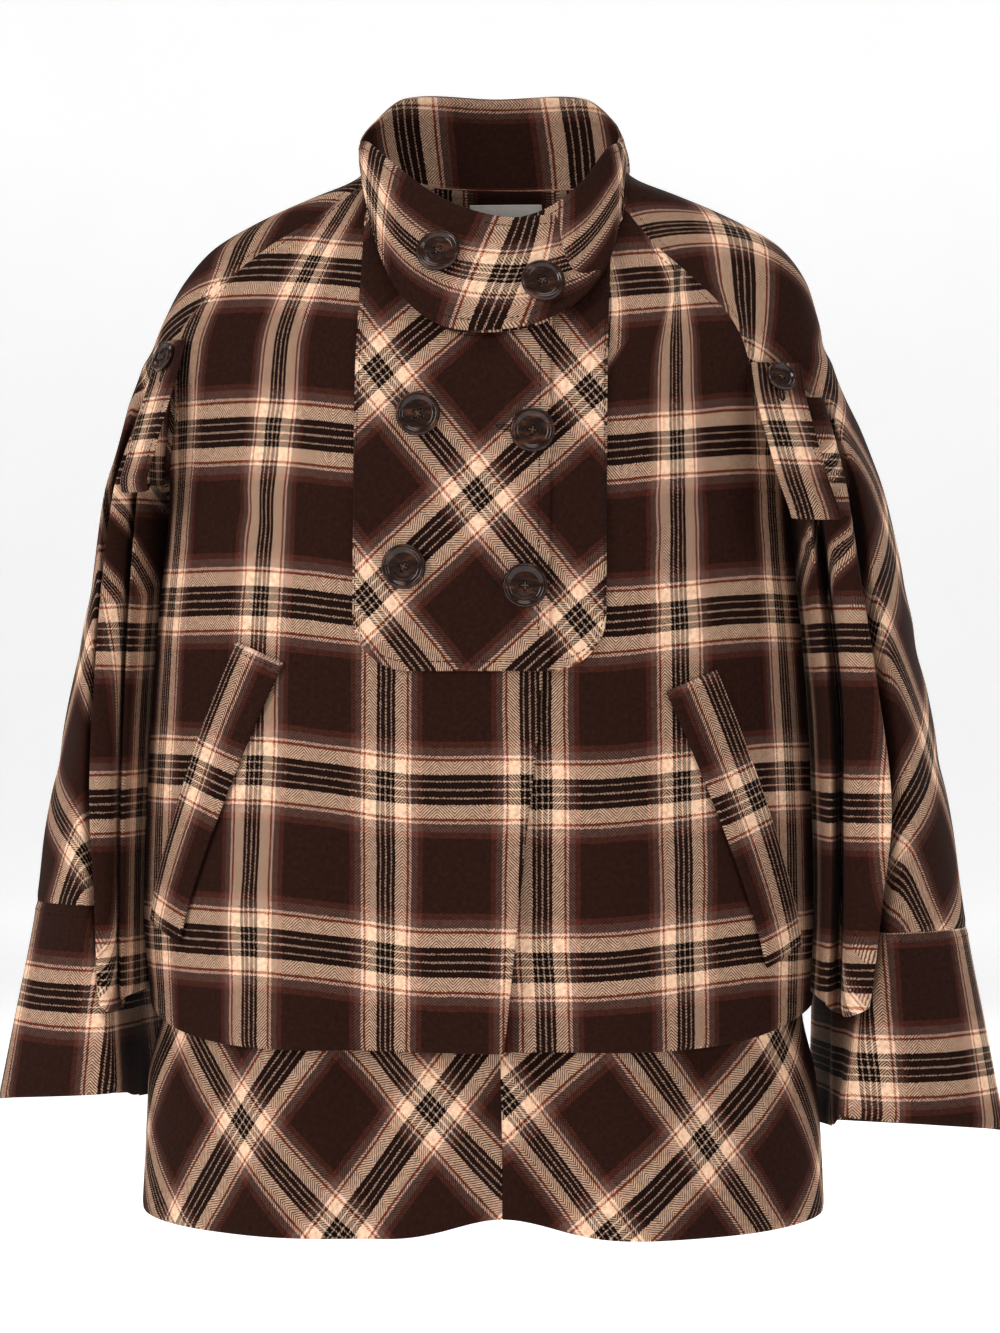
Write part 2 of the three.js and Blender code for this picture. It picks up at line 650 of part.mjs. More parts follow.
// Turns of the collar's columns, spaced evenly along its foot and rim.
function collarTurns(columns) {
  const { underEnd, overEnd } = COLLAR;
  const lengths = [0];
  for (let turn = underEnd; turn < overEnd; turn += 1) {
    const step = [0, 1].map((rise) => collarPoint(turn, rise).distanceTo(collarPoint(turn + 1, rise)));
    lengths.push(lengths[lengths.length - 1] + step[0] + step[1]);
  }
  const total = lengths[lengths.length - 1];
  return Array.from({ length: columns + 1 }, (_, k) => {
    const wanted = (total * k) / columns;
    const i = Math.min(lengths.filter((length) => length < wanted).length, lengths.length - 1);
    const before = Math.max(i - 1, 0);
    const share = i > before ? (wanted - lengths[before]) / (lengths[i] - lengths[before]) : 0;
    return underEnd + before + share;
  });
}

function collar() {
  const columns = 46;
  const turns = collarTurns(columns);
  const pointAt = (u, v) => {
    const turn = turns[Math.round(u * columns)];
    const slant = COLLAR.endSlant * v * ease(COLLAR.slantStart, COLLAR.overEnd, turn);
    return collarPoint(turn + slant, 1 - v);
  };
  return wall("collar", columns, 4, pointAt);
}

function neckLabel() {
  const pointAt = (u, v) => {
    const z = mix(LABEL.top, LABEL.bottom, v);
    const x = mix(LABEL.x + LABEL.halfWidth, LABEL.x - LABEL.halfWidth, u);
    return bodyPoint(Math.PI - angleAt(x / read(BODY, "half", z)), z, -CLOTH - 0.6);
  };
  return wall("neck_label", 5, 2, pointAt, { thickness: LABEL_CLOTH, colour: CREAM });
}

// The lower tier hangs from inside the shell's hem.
function tierPoint(angle, v) {
  const hem = shellHem(angle);
  const x = read(BODY, "half", TIER.hem) * power(Math.sin(angle)) + read(BODY, "shift", TIER.hem);
  const slitRise = Math.cos(angle) > 0 ? SLIT.rise * hump(x - SLIT.x, SLIT.width) : 0;
  const low = TIER.hem + TIER.sideRise * Math.sin(angle) ** 6 + slitRise;
  const z = mix(hem + TIER.overlap, low, v);
  return bodyPoint(angle, z, -TIER.tuck * ease(hem - TIER.release, hem, z));
}

function tier(name, from, to, columns) {
  return wall(name, columns, 4, (u, v) => tierPoint(mix(from, to, u), v), { colour: BIAS_WOOL });
}

function tiers() {
  const slit = angleAt((SLIT.x - read(BODY, "shift", TIER.hem)) / read(BODY, "half", TIER.hem));
  const half = turnBy(SLIT.gap / 2, slit, TIER.hem);
  const side = Math.PI / 2;
  const gap = turnBy(SEAM_GAP, side, TIER.hem);
  return [
    tier("tier_right", -side + gap, slit - half, 15),
    tier("tier_left", slit + half, side - gap, 14),
    tier("tier_back", side + gap, 3 * side - gap, 24),
  ];
}

// A slanted welt, as a strip on the front's points.
function welt(side) {
  const { sign } = SIDES[side];
  const { top, topZ, bottom, bottomZ } = WELTS[side];
  const from = angleAt(top);
  const to = angleAt(bottom);
  const pointAt = (u, v) => {
    const acrossShare = u - 0.5;
    const middle = mix(from, to, v);
    const z = mix(topZ, bottomZ, v) + sign * acrossShare * WELT.width * WELT.lean;
    const angle = sign * middle + turnBy(acrossShare * WELT.width, middle, z);
    return bodyPoint(angle, z, WELT_CLOTH + LAYER_GAP);
  };
  return wall(`welt_${side}`, 4, 12, pointAt, { thickness: WELT_CLOTH });
}

// The sideways direction of a tab.
function tabAcross(side) {
  const facing = THREE.MathUtils.degToRad(TABS[side].facing);
  return new THREE.Vector3(Math.cos(facing), Math.sin(facing), 0);
}

function tabLine(side) {
  return new THREE.CatmullRomCurve3(TABS[side].line.map(({ x, y, z }) => new THREE.Vector3(x, y, z)));
}

function tab(side) {
  const line = tabLine(side);
  const across = tabAcross(side);
  const pointAt = (u, v) => line.getPoint(v).addScaledVector(across, (u - 0.5) * TAB_WIDTH);
  return wall(`tab_${side}`, 2, 12, pointAt);
}

// A turned button with a rim round its dish, its back on a point and facing along a direction.
function button(name, diameter, seat, direction) {
  const r = diameter / 2;
  const { thick, dish, rim } = BUTTON;
  const profile = [
    [0, 0],
    [r * 0.86, 0],
    [r, thick * 0.45],
    [r * (1 - rim / 2), thick],
    [r * (1 - 2 * rim), thick - dish],
    [0, thick - dish],
  ].map(([x, y]) => new THREE.Vector2(x, y));
  const mesh = named(name, new THREE.LatheGeometry(profile, 18), HORN, 0.3);
  mesh.quaternion.setFromUnitVectors(new THREE.Vector3(0, 1, 0), direction);
  mesh.position.copy(seat).addScaledVector(direction, SEAM_GAP + 0.15);
  return mesh;
}

// The outward direction of a surface given by two parameters.
function facingOf(surface, a, b, stepA, stepB) {
  const alongA = surface(a + stepA, b).sub(surface(a - stepA, b));
  const alongB = surface(a, b + stepB).sub(surface(a, b - stepB));
  return alongA.cross(alongB).normalize();
}

function buttons() {
  const made = COLLAR_BUTTONS.map(({ turn, rise }, i) => {
    const direction = facingOf(collarPoint, turn, rise, 2, 0.05);
    return button(`button_collar_${i + 1}`, BUTTON.large, collarPoint(turn, rise), direction);
  });
  BIB_BUTTONS.forEach(({ x, z, layers }, i) => {
    const lift = BIB_LIFT + (layers - 1) * (CLOTH + LAYER_GAP);
    const surface = (a, b) => frontPoint(a, b, lift);
    const direction = facingOf(surface, x, z, 4, 4);
    made.push(button(`button_bib_${i + 1}`, BUTTON.large, surface(x, z), direction));
  });
  for (const side of ["right", "left"]) {
    const [top, next] = tabLine(side).points;
    const down = next.clone().sub(top).normalize();
    const seat = top.clone().addScaledVector(down, TAB_BUTTON_DROP);
    const direction = down.clone().cross(tabAcross(side)).normalize();
    made.push(button(`button_tab_${side}`, BUTTON.small, seat, direction));
  }
  return made;
}

const coat = new THREE.Group();
for (const side of ["right", "left"]) {
  coat.add(front(side), sleeve(side), cuff(side), drape(side), welt(side), tab(side));
}
coat.add(back(), ...bib(), collar(), neckLabel(), ...tiers(), ...buttons());
export default coat;
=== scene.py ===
# %% [markdown]
# # A cape coat in checked wool
#
# The coat hangs as if it were worn: a standing collar that laps over itself, a buttoned bib, raglan
# sleeves with flared cuffs, folded cloth in the arm slits, slanted pocket welts and a lower tier.
# Each piece of cloth is a thin shell made from its own sizes, a little finer than the plain CAD solid
# that it stands for, and one woven material dresses them all.

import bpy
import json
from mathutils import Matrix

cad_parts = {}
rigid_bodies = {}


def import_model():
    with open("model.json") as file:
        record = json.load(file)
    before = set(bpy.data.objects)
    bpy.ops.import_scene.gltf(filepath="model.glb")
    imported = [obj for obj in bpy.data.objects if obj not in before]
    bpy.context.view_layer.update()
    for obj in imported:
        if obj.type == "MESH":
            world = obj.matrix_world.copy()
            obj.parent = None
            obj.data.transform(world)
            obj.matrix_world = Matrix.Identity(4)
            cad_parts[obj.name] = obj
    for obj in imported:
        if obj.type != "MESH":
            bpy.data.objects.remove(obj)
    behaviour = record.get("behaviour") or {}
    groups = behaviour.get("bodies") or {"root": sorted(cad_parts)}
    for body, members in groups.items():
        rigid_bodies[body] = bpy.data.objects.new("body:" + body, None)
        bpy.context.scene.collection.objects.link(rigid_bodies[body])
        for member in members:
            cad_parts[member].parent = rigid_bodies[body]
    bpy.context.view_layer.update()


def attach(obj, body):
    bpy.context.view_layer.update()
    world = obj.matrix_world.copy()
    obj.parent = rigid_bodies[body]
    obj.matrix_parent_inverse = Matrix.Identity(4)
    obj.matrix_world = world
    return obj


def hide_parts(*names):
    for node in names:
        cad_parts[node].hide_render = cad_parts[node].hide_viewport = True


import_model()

# %% [markdown]
# Cloth is best described by sections. A table gives a few heights with their sizes, and a smooth curve
# reads the sizes in between. Reading whole arrays at once with numpy keeps the script quick.

# %% Reading tables
import json
import math

import bpy
import numpy as np
from mathutils import Vector

MM = 0.001


def columns(names, *rows):
    """A table with named columns."""
    return {name: np.array([row[i] for row in rows], float) for i, name in enumerate(names.split())}


def read(table, column, at, key="z"):
    """Reads a column on a smooth curve through its rows."""
    places, values = table[key], table[column]
    if places[0] > places[-1]:
        places, at = -places, -np.asarray(at, float)
    last = len(places) - 1
    i = np.clip(np.searchsorted(places, at, side="left") - 1, 0, last - 1)
    before, after = np.maximum(i - 1, 0), np.minimum(i + 2, last)
    span = places[i + 1] - places[i]
    s = np.clip((at - places[i]) / span, 0, 1)
    slope_a = (values[i + 1] - values[before]) / (places[i + 1] - places[before])
    slope_b = (values[after] - values[i]) / (places[after] - places[i])
    s2, s3 = s * s, s * s * s
    return (
        (2 * s3 - 3 * s2 + 1) * values[i]
        + (s3 - 2 * s2 + s) * span * slope_a
        + (3 * s2 - 2 * s3) * values[i + 1]
        + (s3 - s2) * span * slope_b
    )


def mix(a, b, share):
    return a + (b - a) * share


def ease(start, end, at):
    t = np.clip((at - start) / (end - start), 0, 1)
    return t * t * (3 - 2 * t)


def hump(distance, width):
    """1 at the middle, falling softly to 0."""
    return np.exp(-((distance / width) ** 2))


def join(x, y, z):
    return np.stack(np.broadcast_arrays(x, y, z), axis=-1).astype(float)


print("tables are read on a smooth curve")

# %% [markdown]
# The body of the coat is a stack of ovals. A superellipse suits a garment better than a plain ellipse,
# because cloth over a chest has flatter fronts and rounder sides. Sizes are in millimetres here and
# turn into metres when a mesh is made. X runs to the wearer's left, Y to the back and Z up.

# %% Body sections
CLOTH = 2.2
SEAM_GAP = 0.35
LAYER_GAP = 0.8
SQUARENESS = 2.25
RAGLAN_END = -105
UNDERARM = -198
SHELL_HEM = -549
SHELL_SIDE_RISE = 21

BODY = columns(
    "z half front back shift",
    (30, 68, 46, 60, 0),
    (12, 84, 52, 68, 0),
    (4, 95, 55, 71, 0),
    (-5, 118, 57.5, 75, 0),
    (-15, 142, 61, 79, 0),
    (-28, 168, 66, 85, 0),
    (-40, 186, 72, 91, 0),
    (-60, 202, 83, 100, -1),
    (-80, 211, 94, 108, -3),
    (-100, 217, 105, 114, -5),
    (-120, 214, 113, 119, -7),
    (-150, 206, 119, 124, -9),
    (-200, 202, 125, 128, -10),
    (-300, 211, 129, 131, -10),
    (-400, 217, 132, 135, -10),
    (-470, 219, 135, 139, -10),
    (-530, 215, 137, 141, -9),
    (-560, 216, 137, 142, -9),
    (-610, 219, 139, 144, -8),
    (-670, 222, 141, 147, -8),
)
RAGLAN = columns(
    "z right left back",
    (12, 0.86, 0.86, 0.86),
    (-7, 0.75, 0.64, 0.64),
    (-23, 0.72, 0.58, 0.58),
    (-40, 0.76, 0.57, 0.59),
    (-60, 0.82, 0.64, 0.65),
    (-80, 0.88, 0.72, 0.72),
    (-100, 0.905, 0.77, 0.77),
    (-120, 0.915, 0.82, 0.81),
    (-150, 0.945, 0.9, 0.88),
    (-180, 0.985, 0.975, 0.965),
    (-198, 1, 1, 1),
)


def angle_at(share):
    """The angle round the body at which an oval reaches a share of its half width."""
    return np.arcsin(np.minimum(np.abs(share), 1) ** (SQUARENESS / 2)) * np.sign(share)


def power(value):
    return np.sign(value) * np.abs(value) ** (2 / SQUARENESS)


def depth_of(before, z):
    return np.where(before, read(BODY, "front", z), read(BODY, "back", z))


def oval_point(angle, z, half, offset):
    """A point of an oval, moved out square to the cloth."""
    angle, z, half, offset = (np.asarray(a, float) for a in np.broadcast_arrays(angle, z, half, offset))
    before = np.cos(angle) > 0
    deep = depth_of(before, z)
    x = half * power(np.sin(angle))
    y = -deep * power(np.cos(angle))
    grow_x = (read(BODY, "half", z - 1) - read(BODY, "half", z + 1)) / 2 / half
    grow_y = (depth_of(before, z - 1) - depth_of(before, z + 1)) / 2 / deep
    share_x, share_y = np.abs(x) / half, np.abs(y) / deep
    out = join(
        np.sign(x) * share_x ** (SQUARENESS - 1) / half,
        np.sign(y) * share_y ** (SQUARENESS - 1) / deep,
        share_x**SQUARENESS * grow_x + share_y**SQUARENESS * grow_y,
    )
    out /= np.linalg.norm(out, axis=-1, keepdims=True)
    return join(x + read(BODY, "shift", z), y, z) + out * offset[..., None]


print("body:", len(BODY["z"]), "ovals from", BODY["z"][0], "down to", BODY["z"][-1], "mm")

# %% [markdown]
# Wool this thick does not crumple. It falls in long soft folds that open towards the hem, and shallow
# drag lines run from where it is held: the bib's corners, the pocket ends and the arm slits. The folds
# are humps across the body that grow on the way down. Each drag line is a short soft trough along a
# slanted line, so no two of them are alike.

# %% Folds and drag lines
FOLDS = columns(
    "side top x hem depth width",
    (-1, -300, -66, -64, -8, 20),
    (-1, -330, -100, -118, 7, 32),
    (-1, -300, 88, 108, 7, 30),
    (-1, -340, 62, 56, -6, 18),
    (1, -180, -70, -92, 6, 34),
    (1, -240, -20, -24, -5, 32),
    (1, -200, 48, 62, 6, 34),
    (1, -300, 110, 128, -4, 30),
)
DRAG_DEPTH = 1.7
# Drag lines from one end to the other: X and height at both ends, depth, width, on the front or back.
DRAGS = columns(
    "side x0 z0 x1 z1 depth width",
    (-1, -186, -170, -112, -238, -1.6, 9),
    (-1, -190, -226, -128, -262, -1.1, 8),
    (-1, -150, -140, -96, -176, 1.0, 10),
    (-1, 176, -176, 118, -246, -1.5, 9),
    (-1, 172, -240, 124, -282, -1.0, 8),
    (-1, 148, -128, 100, -166, 1.1, 11),
    (-1, -70, -330, -88, -420, -1.4, 8),
    (-1, 60, -322, 74, -396, -1.2, 9),
    (-1, -158, -500, -120, -430, 1.1, 10),
    (-1, 150, -505, 118, -440, 1.0, 11),
    (1, -176, -190, -96, -270, -1.8, 11),
    (1, 168, -186, 92, -262, -1.6, 10),
    (1, -60, -80, -22, -150, 1.1, 14),
    (1, 66, -84, 30, -158, 1.0, 13),
    (1, -120, -330, -98, -430, -1.2, 10),
    (1, 128, -340, 112, -446, -1.3, 11),
    (1, 4, -300, 10, -400, 1.1, 14),
)


def fold_relief(angle, z):
    """How far the folds and drag lines move the body's cloth out."""
    x = read(BODY, "half", z) * power(np.sin(angle))
    side = np.where(np.cos(angle) > 0, -1, 1)
    relief = np.zeros(np.broadcast(angle, z).shape)
    for here, top, start, hem, depth, width in zip(*FOLDS.values()):
        grown = np.clip((top - z) / (top - SHELL_HEM), 0, 1)
        relief = relief + (side == here) * depth * grown * hump(x - mix(start, hem, grown), width)
    for here, x0, z0, x1, z1, depth, width in zip(*DRAGS.values()):
        length = math.hypot(x1 - x0, z1 - z0)
        along = ((x - x0) * (x1 - x0) + (z - z0) * (z1 - z0)) / length
        across = ((x - x0) * (z1 - z0) - (z - z0) * (x1 - x0)) / length
        taper = ease(0, length * 0.4, along) * (1 - ease(length * 0.55, length, along))
        relief = relief + (side == here) * DRAG_DEPTH * depth * taper * hump(across, width)
    return relief


def body_point(angle, z, offset=0.0):
    return oval_point(angle, z, read(BODY, "half", z), offset + fold_relief(angle, z))


def turn_by(distance, angle, z):
    """A small turn round the body that moves a point by a distance."""
    return distance / np.hypot(read(BODY, "half", z) * np.cos(angle), read(BODY, "front", z) * np.sin(angle))


def shell_hem(angle):
    return SHELL_HEM + SHELL_SIDE_RISE * np.sin(angle) ** 6


def edge_share(z, column):
    return np.where(z > UNDERARM, read(RAGLAN, column, z), 1.0)


print(len(FOLDS["x"]), "long folds and", len(DRAGS["depth"]), "drag lines")

# %% [markdown]
# The neck seam and the collar's foot are curves seen from the front. A line of cloth meets the seam at
# a height that has no simple formula, so bisection finds it: halve the range thirty times, for every
# column of the panel at once.

# %% Neck seam
NECK = {"front": -98, "back": 6, "tops": (19, 12), "squareness": (2, 2.9)}
FOOT = {"front": -104, "back": 1, "tops": (17, 10), "squareness": (2, 2.9)}


def neck_curve(curve, x, y):
    right = x < 0
    top = np.where(right, *curve["tops"])
    squareness = np.where(right, *curve["squareness"])
    share = np.minimum(np.abs(x) / read(BODY, "half", top), 1)
    low = np.where(y < 0, curve["front"], curve["back"])
    return top - (top - low) * (1 - share**squareness) ** (1 / squareness)


def neck_height(line_at, count):
    """Heights at which lines of cloth, given as a function of height, meet the neck seam."""
    high, low = np.full(count, 30.0), np.full(count, -130.0)
    for _ in range(30):
        z = (high + low) / 2
        place = line_at(z)
        above = z > neck_curve(NECK, place[..., 0], place[..., 1])
        high, low = np.where(above, z, high), np.where(above, low, z)
    return (high + low) / 2


print("neck seam at the middle of the front:", NECK["front"], "mm")

# %% [markdown]
# A panel is a grid of points. Columns and rows stand closer together near the edges, where the cloth is
# pressed into its seams, and the rows follow the cloth's real length, because the part over the
# shoulder lies almost flat. The distances along the cloth also give the woven check its place, in a UV
# map in metres. A second UV map keeps the distance to the nearest edge, which the material uses for
# the pressed line beside a seam. The wall gets its thickness by moving a copy of the grid inwards, and
# rounded rims close it, as a folded edge does.

# %% Cloth shells
CELL = 4.0
EDGE_STEPS = (0, 0.9, 2.0, 3.4, 5.2, 7.4)
EDGE_PRESS = 0.55
EDGE_PRESS_WIDTH = 2.4
RIM_ROUND = 0.42


def shares(length, cell=CELL):
    """Shares of a length, closer together near both ends."""
    steps = [s for s in EDGE_STEPS if s < length / 3]
    count = max(int((length - 2 * steps[-1]) / cell), 1)
    inside = np.linspace(steps[-1], length - steps[-1], count + 1)
    places = [*steps[:-1], *inside, *[length - s for s in reversed(steps[:-1])]]
    return np.array(places) / length


def lengths(points, axis):
    """Distances along a grid's rows or columns, from its first point."""
    steps = np.linalg.norm(np.diff(points, axis=axis), axis=-1)
    total = np.cumsum(steps, axis=axis)
    zero = np.zeros_like(np.take(total, [0], axis=axis))
    return np.concatenate([zero, total], axis=axis)


def hang(line, across, top, bottom, cell=CELL):
    """A grid whose rows are even along the cloth, from a top height to a bottom height per column."""
    fine = np.linspace(0, 1, 260)[:, None]
    heights = top + (bottom - top) * fine
    down = lengths(line(across[None, :], heights), 0)
    rows = shares(float(np.median(down[-1])), cell)
    z = np.stack([np.interp(rows * down[-1, i], down[:, i], heights[:, i]) for i in range(len(across))], 1)
    return line(across[None, :], z)


def grid_normals(points, outward, ring):
    if ring:
        sideways = np.roll(points, -1, 1) - np.roll(points, 1, 1)
    else:
        sideways = np.gradient(points, axis=1)
    normal = np.cross(np.gradient(points, axis=0), sideways) * outward
    return normal / np.maximum(np.linalg.norm(normal, axis=-1, keepdims=True), 1e-9)


def quads(indices):
    """Quads between neighbouring points of a grid of vertex numbers."""
    return np.stack([indices[:-1, :-1], indices[1:, :-1], indices[1:, 1:], indices[:-1, 1:]], -1).reshape(-1, 4)


class Piece:
    """A finished shell: its mesh object, its outer grid and how its edges lie."""

    def __init__(self, obj, outer, normals, across, down):
        self.obj, self.outer, self.normals, self.across, self.down = obj, outer, normals, across, down


PIECES = {}


def mesh_object(name, points, faces, maps, material, same=None):
    """A mesh object from points in millimetres and faces, with UV maps given for each point.
    same gives for each point the one that it is welded to."""
    mesh = bpy.data.meshes.new(name)
    if same is None:
        kept, drawn = points, faces
    else:
        used, number = np.unique(same, return_inverse=True)
        kept, drawn = points[used], number.reshape(-1)[faces]
    mesh.from_pydata((kept * MM).tolist(), [], drawn.tolist())
    for title, values in maps.items():
        layer = mesh.uv_layers.new(name=title)
        layer.data.foreach_set("uv", np.ascontiguousarray(values[faces.ravel()], np.float32).ravel())
    mesh.polygons.foreach_set("use_smooth", np.ones(len(mesh.polygons), bool))
    mesh.materials.append(material)
    mesh.update()
    obj = bpy.data.objects.new(name, mesh)
    bpy.context.collection.objects.link(obj)
    return obj


def rim(loop, outer, inner, normals, thickness, sign):
    """The middle line of a rounded edge, a little beyond the cut edge of the cloth."""
    middle = (outer[loop] + inner[loop]) / 2
    away = np.cross(np.roll(middle, -1, 0) - np.roll(middle, 1, 0), normals[loop]) * -sign
    away /= np.maximum(np.linalg.norm(away, axis=-1, keepdims=True), 1e-9)
    return middle + away * thickness * RIM_ROUND


def shell(name, points, cloth_map, material, thickness=CLOTH, ring=False, outward=1, inner_shift=(0, 0)):
    """A closed wall of cloth from its outer grid. cloth_map turns lengths across and down into the check's place."""
    across, down = lengths(points, 1), lengths(points, 0)
    normals = grid_normals(points[:, :-1] if ring else points, outward, ring)
    if ring:
        normals = np.concatenate([normals, normals[:, :1]], 1)
    edge = np.minimum(down, down[-1] - down)
    if not ring:
        edge = np.minimum(edge, np.minimum(across, across[:, -1:] - across))
    press = (EDGE_PRESS * hump(edge, EDGE_PRESS_WIDTH))[..., None]
    outer, inner = points - normals * press, points - normals * (thickness - press)
    rows, width = outer.shape[:2]
    count = rows * width
    index = np.arange(count).reshape(rows, width)
    flat = [grid.reshape(-1, 3) for grid in (outer, inner, normals)]
    cloth = (cloth_map(across, down, points) * MM).reshape(-1, 2)
    parts, places, edges = [flat[0], flat[1]], [cloth, cloth + np.array(inner_shift) * MM], [edge.ravel()] * 2
    faces = [quads(index), quads(index[:, ::-1] + count)]
    if ring:
        loops = [index[0, :-1], index[-1, :0:-1]]
    else:
        loops = [np.concatenate([index[0, :-1], index[:-1, -1], index[-1, :0:-1], index[:0:-1, 0]])]
    total = 2 * count
    for loop in loops:
        parts.append(rim(loop, *flat, thickness, outward))
        places.append(cloth[loop])
        edges.append(np.zeros(len(loop)))
        line = np.arange(total, total + len(loop))
        total += len(loop)
        next_loop, next_line = np.roll(loop, -1), np.roll(line, -1)
        faces.append(np.stack([loop, next_loop, next_line, line], -1))
        faces.append(np.stack([line, next_line, next_loop + count, loop + count], -1))
    faces = np.concatenate(faces)
    if outward < 0:
        faces = faces[:, ::-1]
    same = np.arange(total)
    if ring:
        same[index[:, -1]] = index[:, 0]
        same[index[:, -1] + count] = index[:, 0] + count
    near = np.concatenate(edges) * MM
    maps = {"cloth": np.concatenate(places), "edge": np.stack([near, near * 0], -1)}
    obj = mesh_object(name, np.concatenate(parts), faces, maps, material, same)
    PIECES[name] = Piece(obj, outer, normals, across, down)
    return obj


print("cells of cloth:", CELL, "mm")

# %% [markdown]
# The cloth is a large tartan in wool twill. Two sets of yarns cross: each set has its own run of
# stripes, mirrored about a black group with thin light lines in it. Where two light stripes cross the
# cloth is plain cream, where two dark ones cross it is brown, and elsewhere both yarns show in turn, as
# fine zigzags of the weave. So the colour is worked out as the loom does it: one stripe colour for each
# direction, and a small mask that says which yarn lies on top.

# %% The check
WARP_REPEAT = 91.0
WEFT_REPEAT = 107.0
TWILL = 2.0
ZIGZAG = 11.0

YARNS = {
    "black": (18, 9, 6),
    "dark": (44, 23, 17),
    "cream": (255, 212, 178),
    "pale": (240, 200, 176),
    "rust": (142, 62, 34),
    "russet": (84, 42, 33),
    "grey": (104, 76, 66),
    "white": (206, 170, 146),
}
# Stripes from the middle of the black group outward: the yarn and where it ends, in millimetres.
WARP_STRIPES = (
    ("white", 0.45),
    ("black", 3.1),
    ("white", 4.0),
    ("black", 6.2),
    ("cream", 13.6),
    ("rust", 15.1),
    ("pale", 16.6),
    ("grey", 20.6),
    ("russet", 23.8),
    ("dark", WARP_REPEAT / 2),
)
WEFT_STRIPES = (
    ("white", 0.5),
    ("black", 4.6),
    ("white", 5.6),
    ("black", 9.2),
    ("cream", 17.8),
    ("rust", 19.5),
    ("pale", 21.2),
    ("grey", 26.4),
    ("russet", 30.2),
    ("dark", WEFT_REPEAT / 2),
)


def linear(rgb):
    """An sRGB colour, 0 to 255, as the linear colour that shaders use."""
    values = [v / 255 for v in rgb]
    return [*[v / 12.92 if v <= 0.04045 else ((v + 0.055) / 1.055) ** 2.4 for v in values], 1.0]


class Nodes:
    """Short ways to add and link shader nodes."""

    def __init__(self, name):
        self.material = bpy.data.materials.new(name)
        self.material.use_nodes = True
        self.tree = self.material.node_tree
        self.shader = self.tree.nodes["Principled BSDF"]

    def add(self, kind, inputs=(), **settings):
        node = self.tree.nodes.new(kind)
        for title, value in settings.items():
            setattr(node, title, value)
        for title, value in dict(inputs).items():
            if isinstance(value, bpy.types.NodeSocket):
                self.tree.links.new(value, node.inputs[title])
            else:
                node.inputs[title].default_value = value
        return node

    def math(self, operation, *values):
        return self.add("ShaderNodeMath", dict(enumerate(values)), operation=operation).outputs[0]

    def mix(self, share, a, b):
        node = self.add("ShaderNodeMix", {0: share}, data_type="RGBA")
        for socket, value in ((node.inputs[6], a), (node.inputs[7], b)):
            if isinstance(value, bpy.types.NodeSocket):
                self.tree.links.new(value, socket)
            else:
                socket.default_value = value
        return node.outputs[2]

    def noise(self, vector, scale, detail=2.0, roughness=0.5):
        values = {"Vector": vector, "Scale": scale, "Detail": detail, "Roughness": roughness}
        return self.add("ShaderNodeTexNoise", values).outputs["Fac"]

    def ramp(self, value, stops, interpolation="LINEAR"):
        node = self.add("ShaderNodeValToRGB", {"Fac": value})
        ramp = node.color_ramp
        ramp.interpolation = interpolation
        while len(ramp.elements) > 1:
            ramp.elements.remove(ramp.elements[-1])
        ramp.elements[0].position, ramp.elements[0].color = stops[0]
        for place, colour in stops[1:]:
            ramp.elements.new(place).color = colour
        return node.outputs["Color"]

    def link(self, socket, title):
        self.tree.links.new(socket, self.shader.inputs[title])

    def set(self, **values):
        for title, value in values.items():
            self.shader.inputs[title.replace("_", " ")].default_value = value


def stripe_colours(nodes, place, repeat, stripes):
    """The colour of the yarn at a place along the repeat, mirrored about the black group."""
    half = repeat / 2
    folded = nodes.math("DIVIDE", nodes.math("PINGPONG", place, half * MM), half * MM)
    starts = [0.0, *[end / half for _, end in stripes[:-1]]]
    stops = [(start, linear(YARNS[yarn])) for start, (yarn, _) in zip(starts, stripes)]
    return nodes.ramp(folded, stops, "CONSTANT")


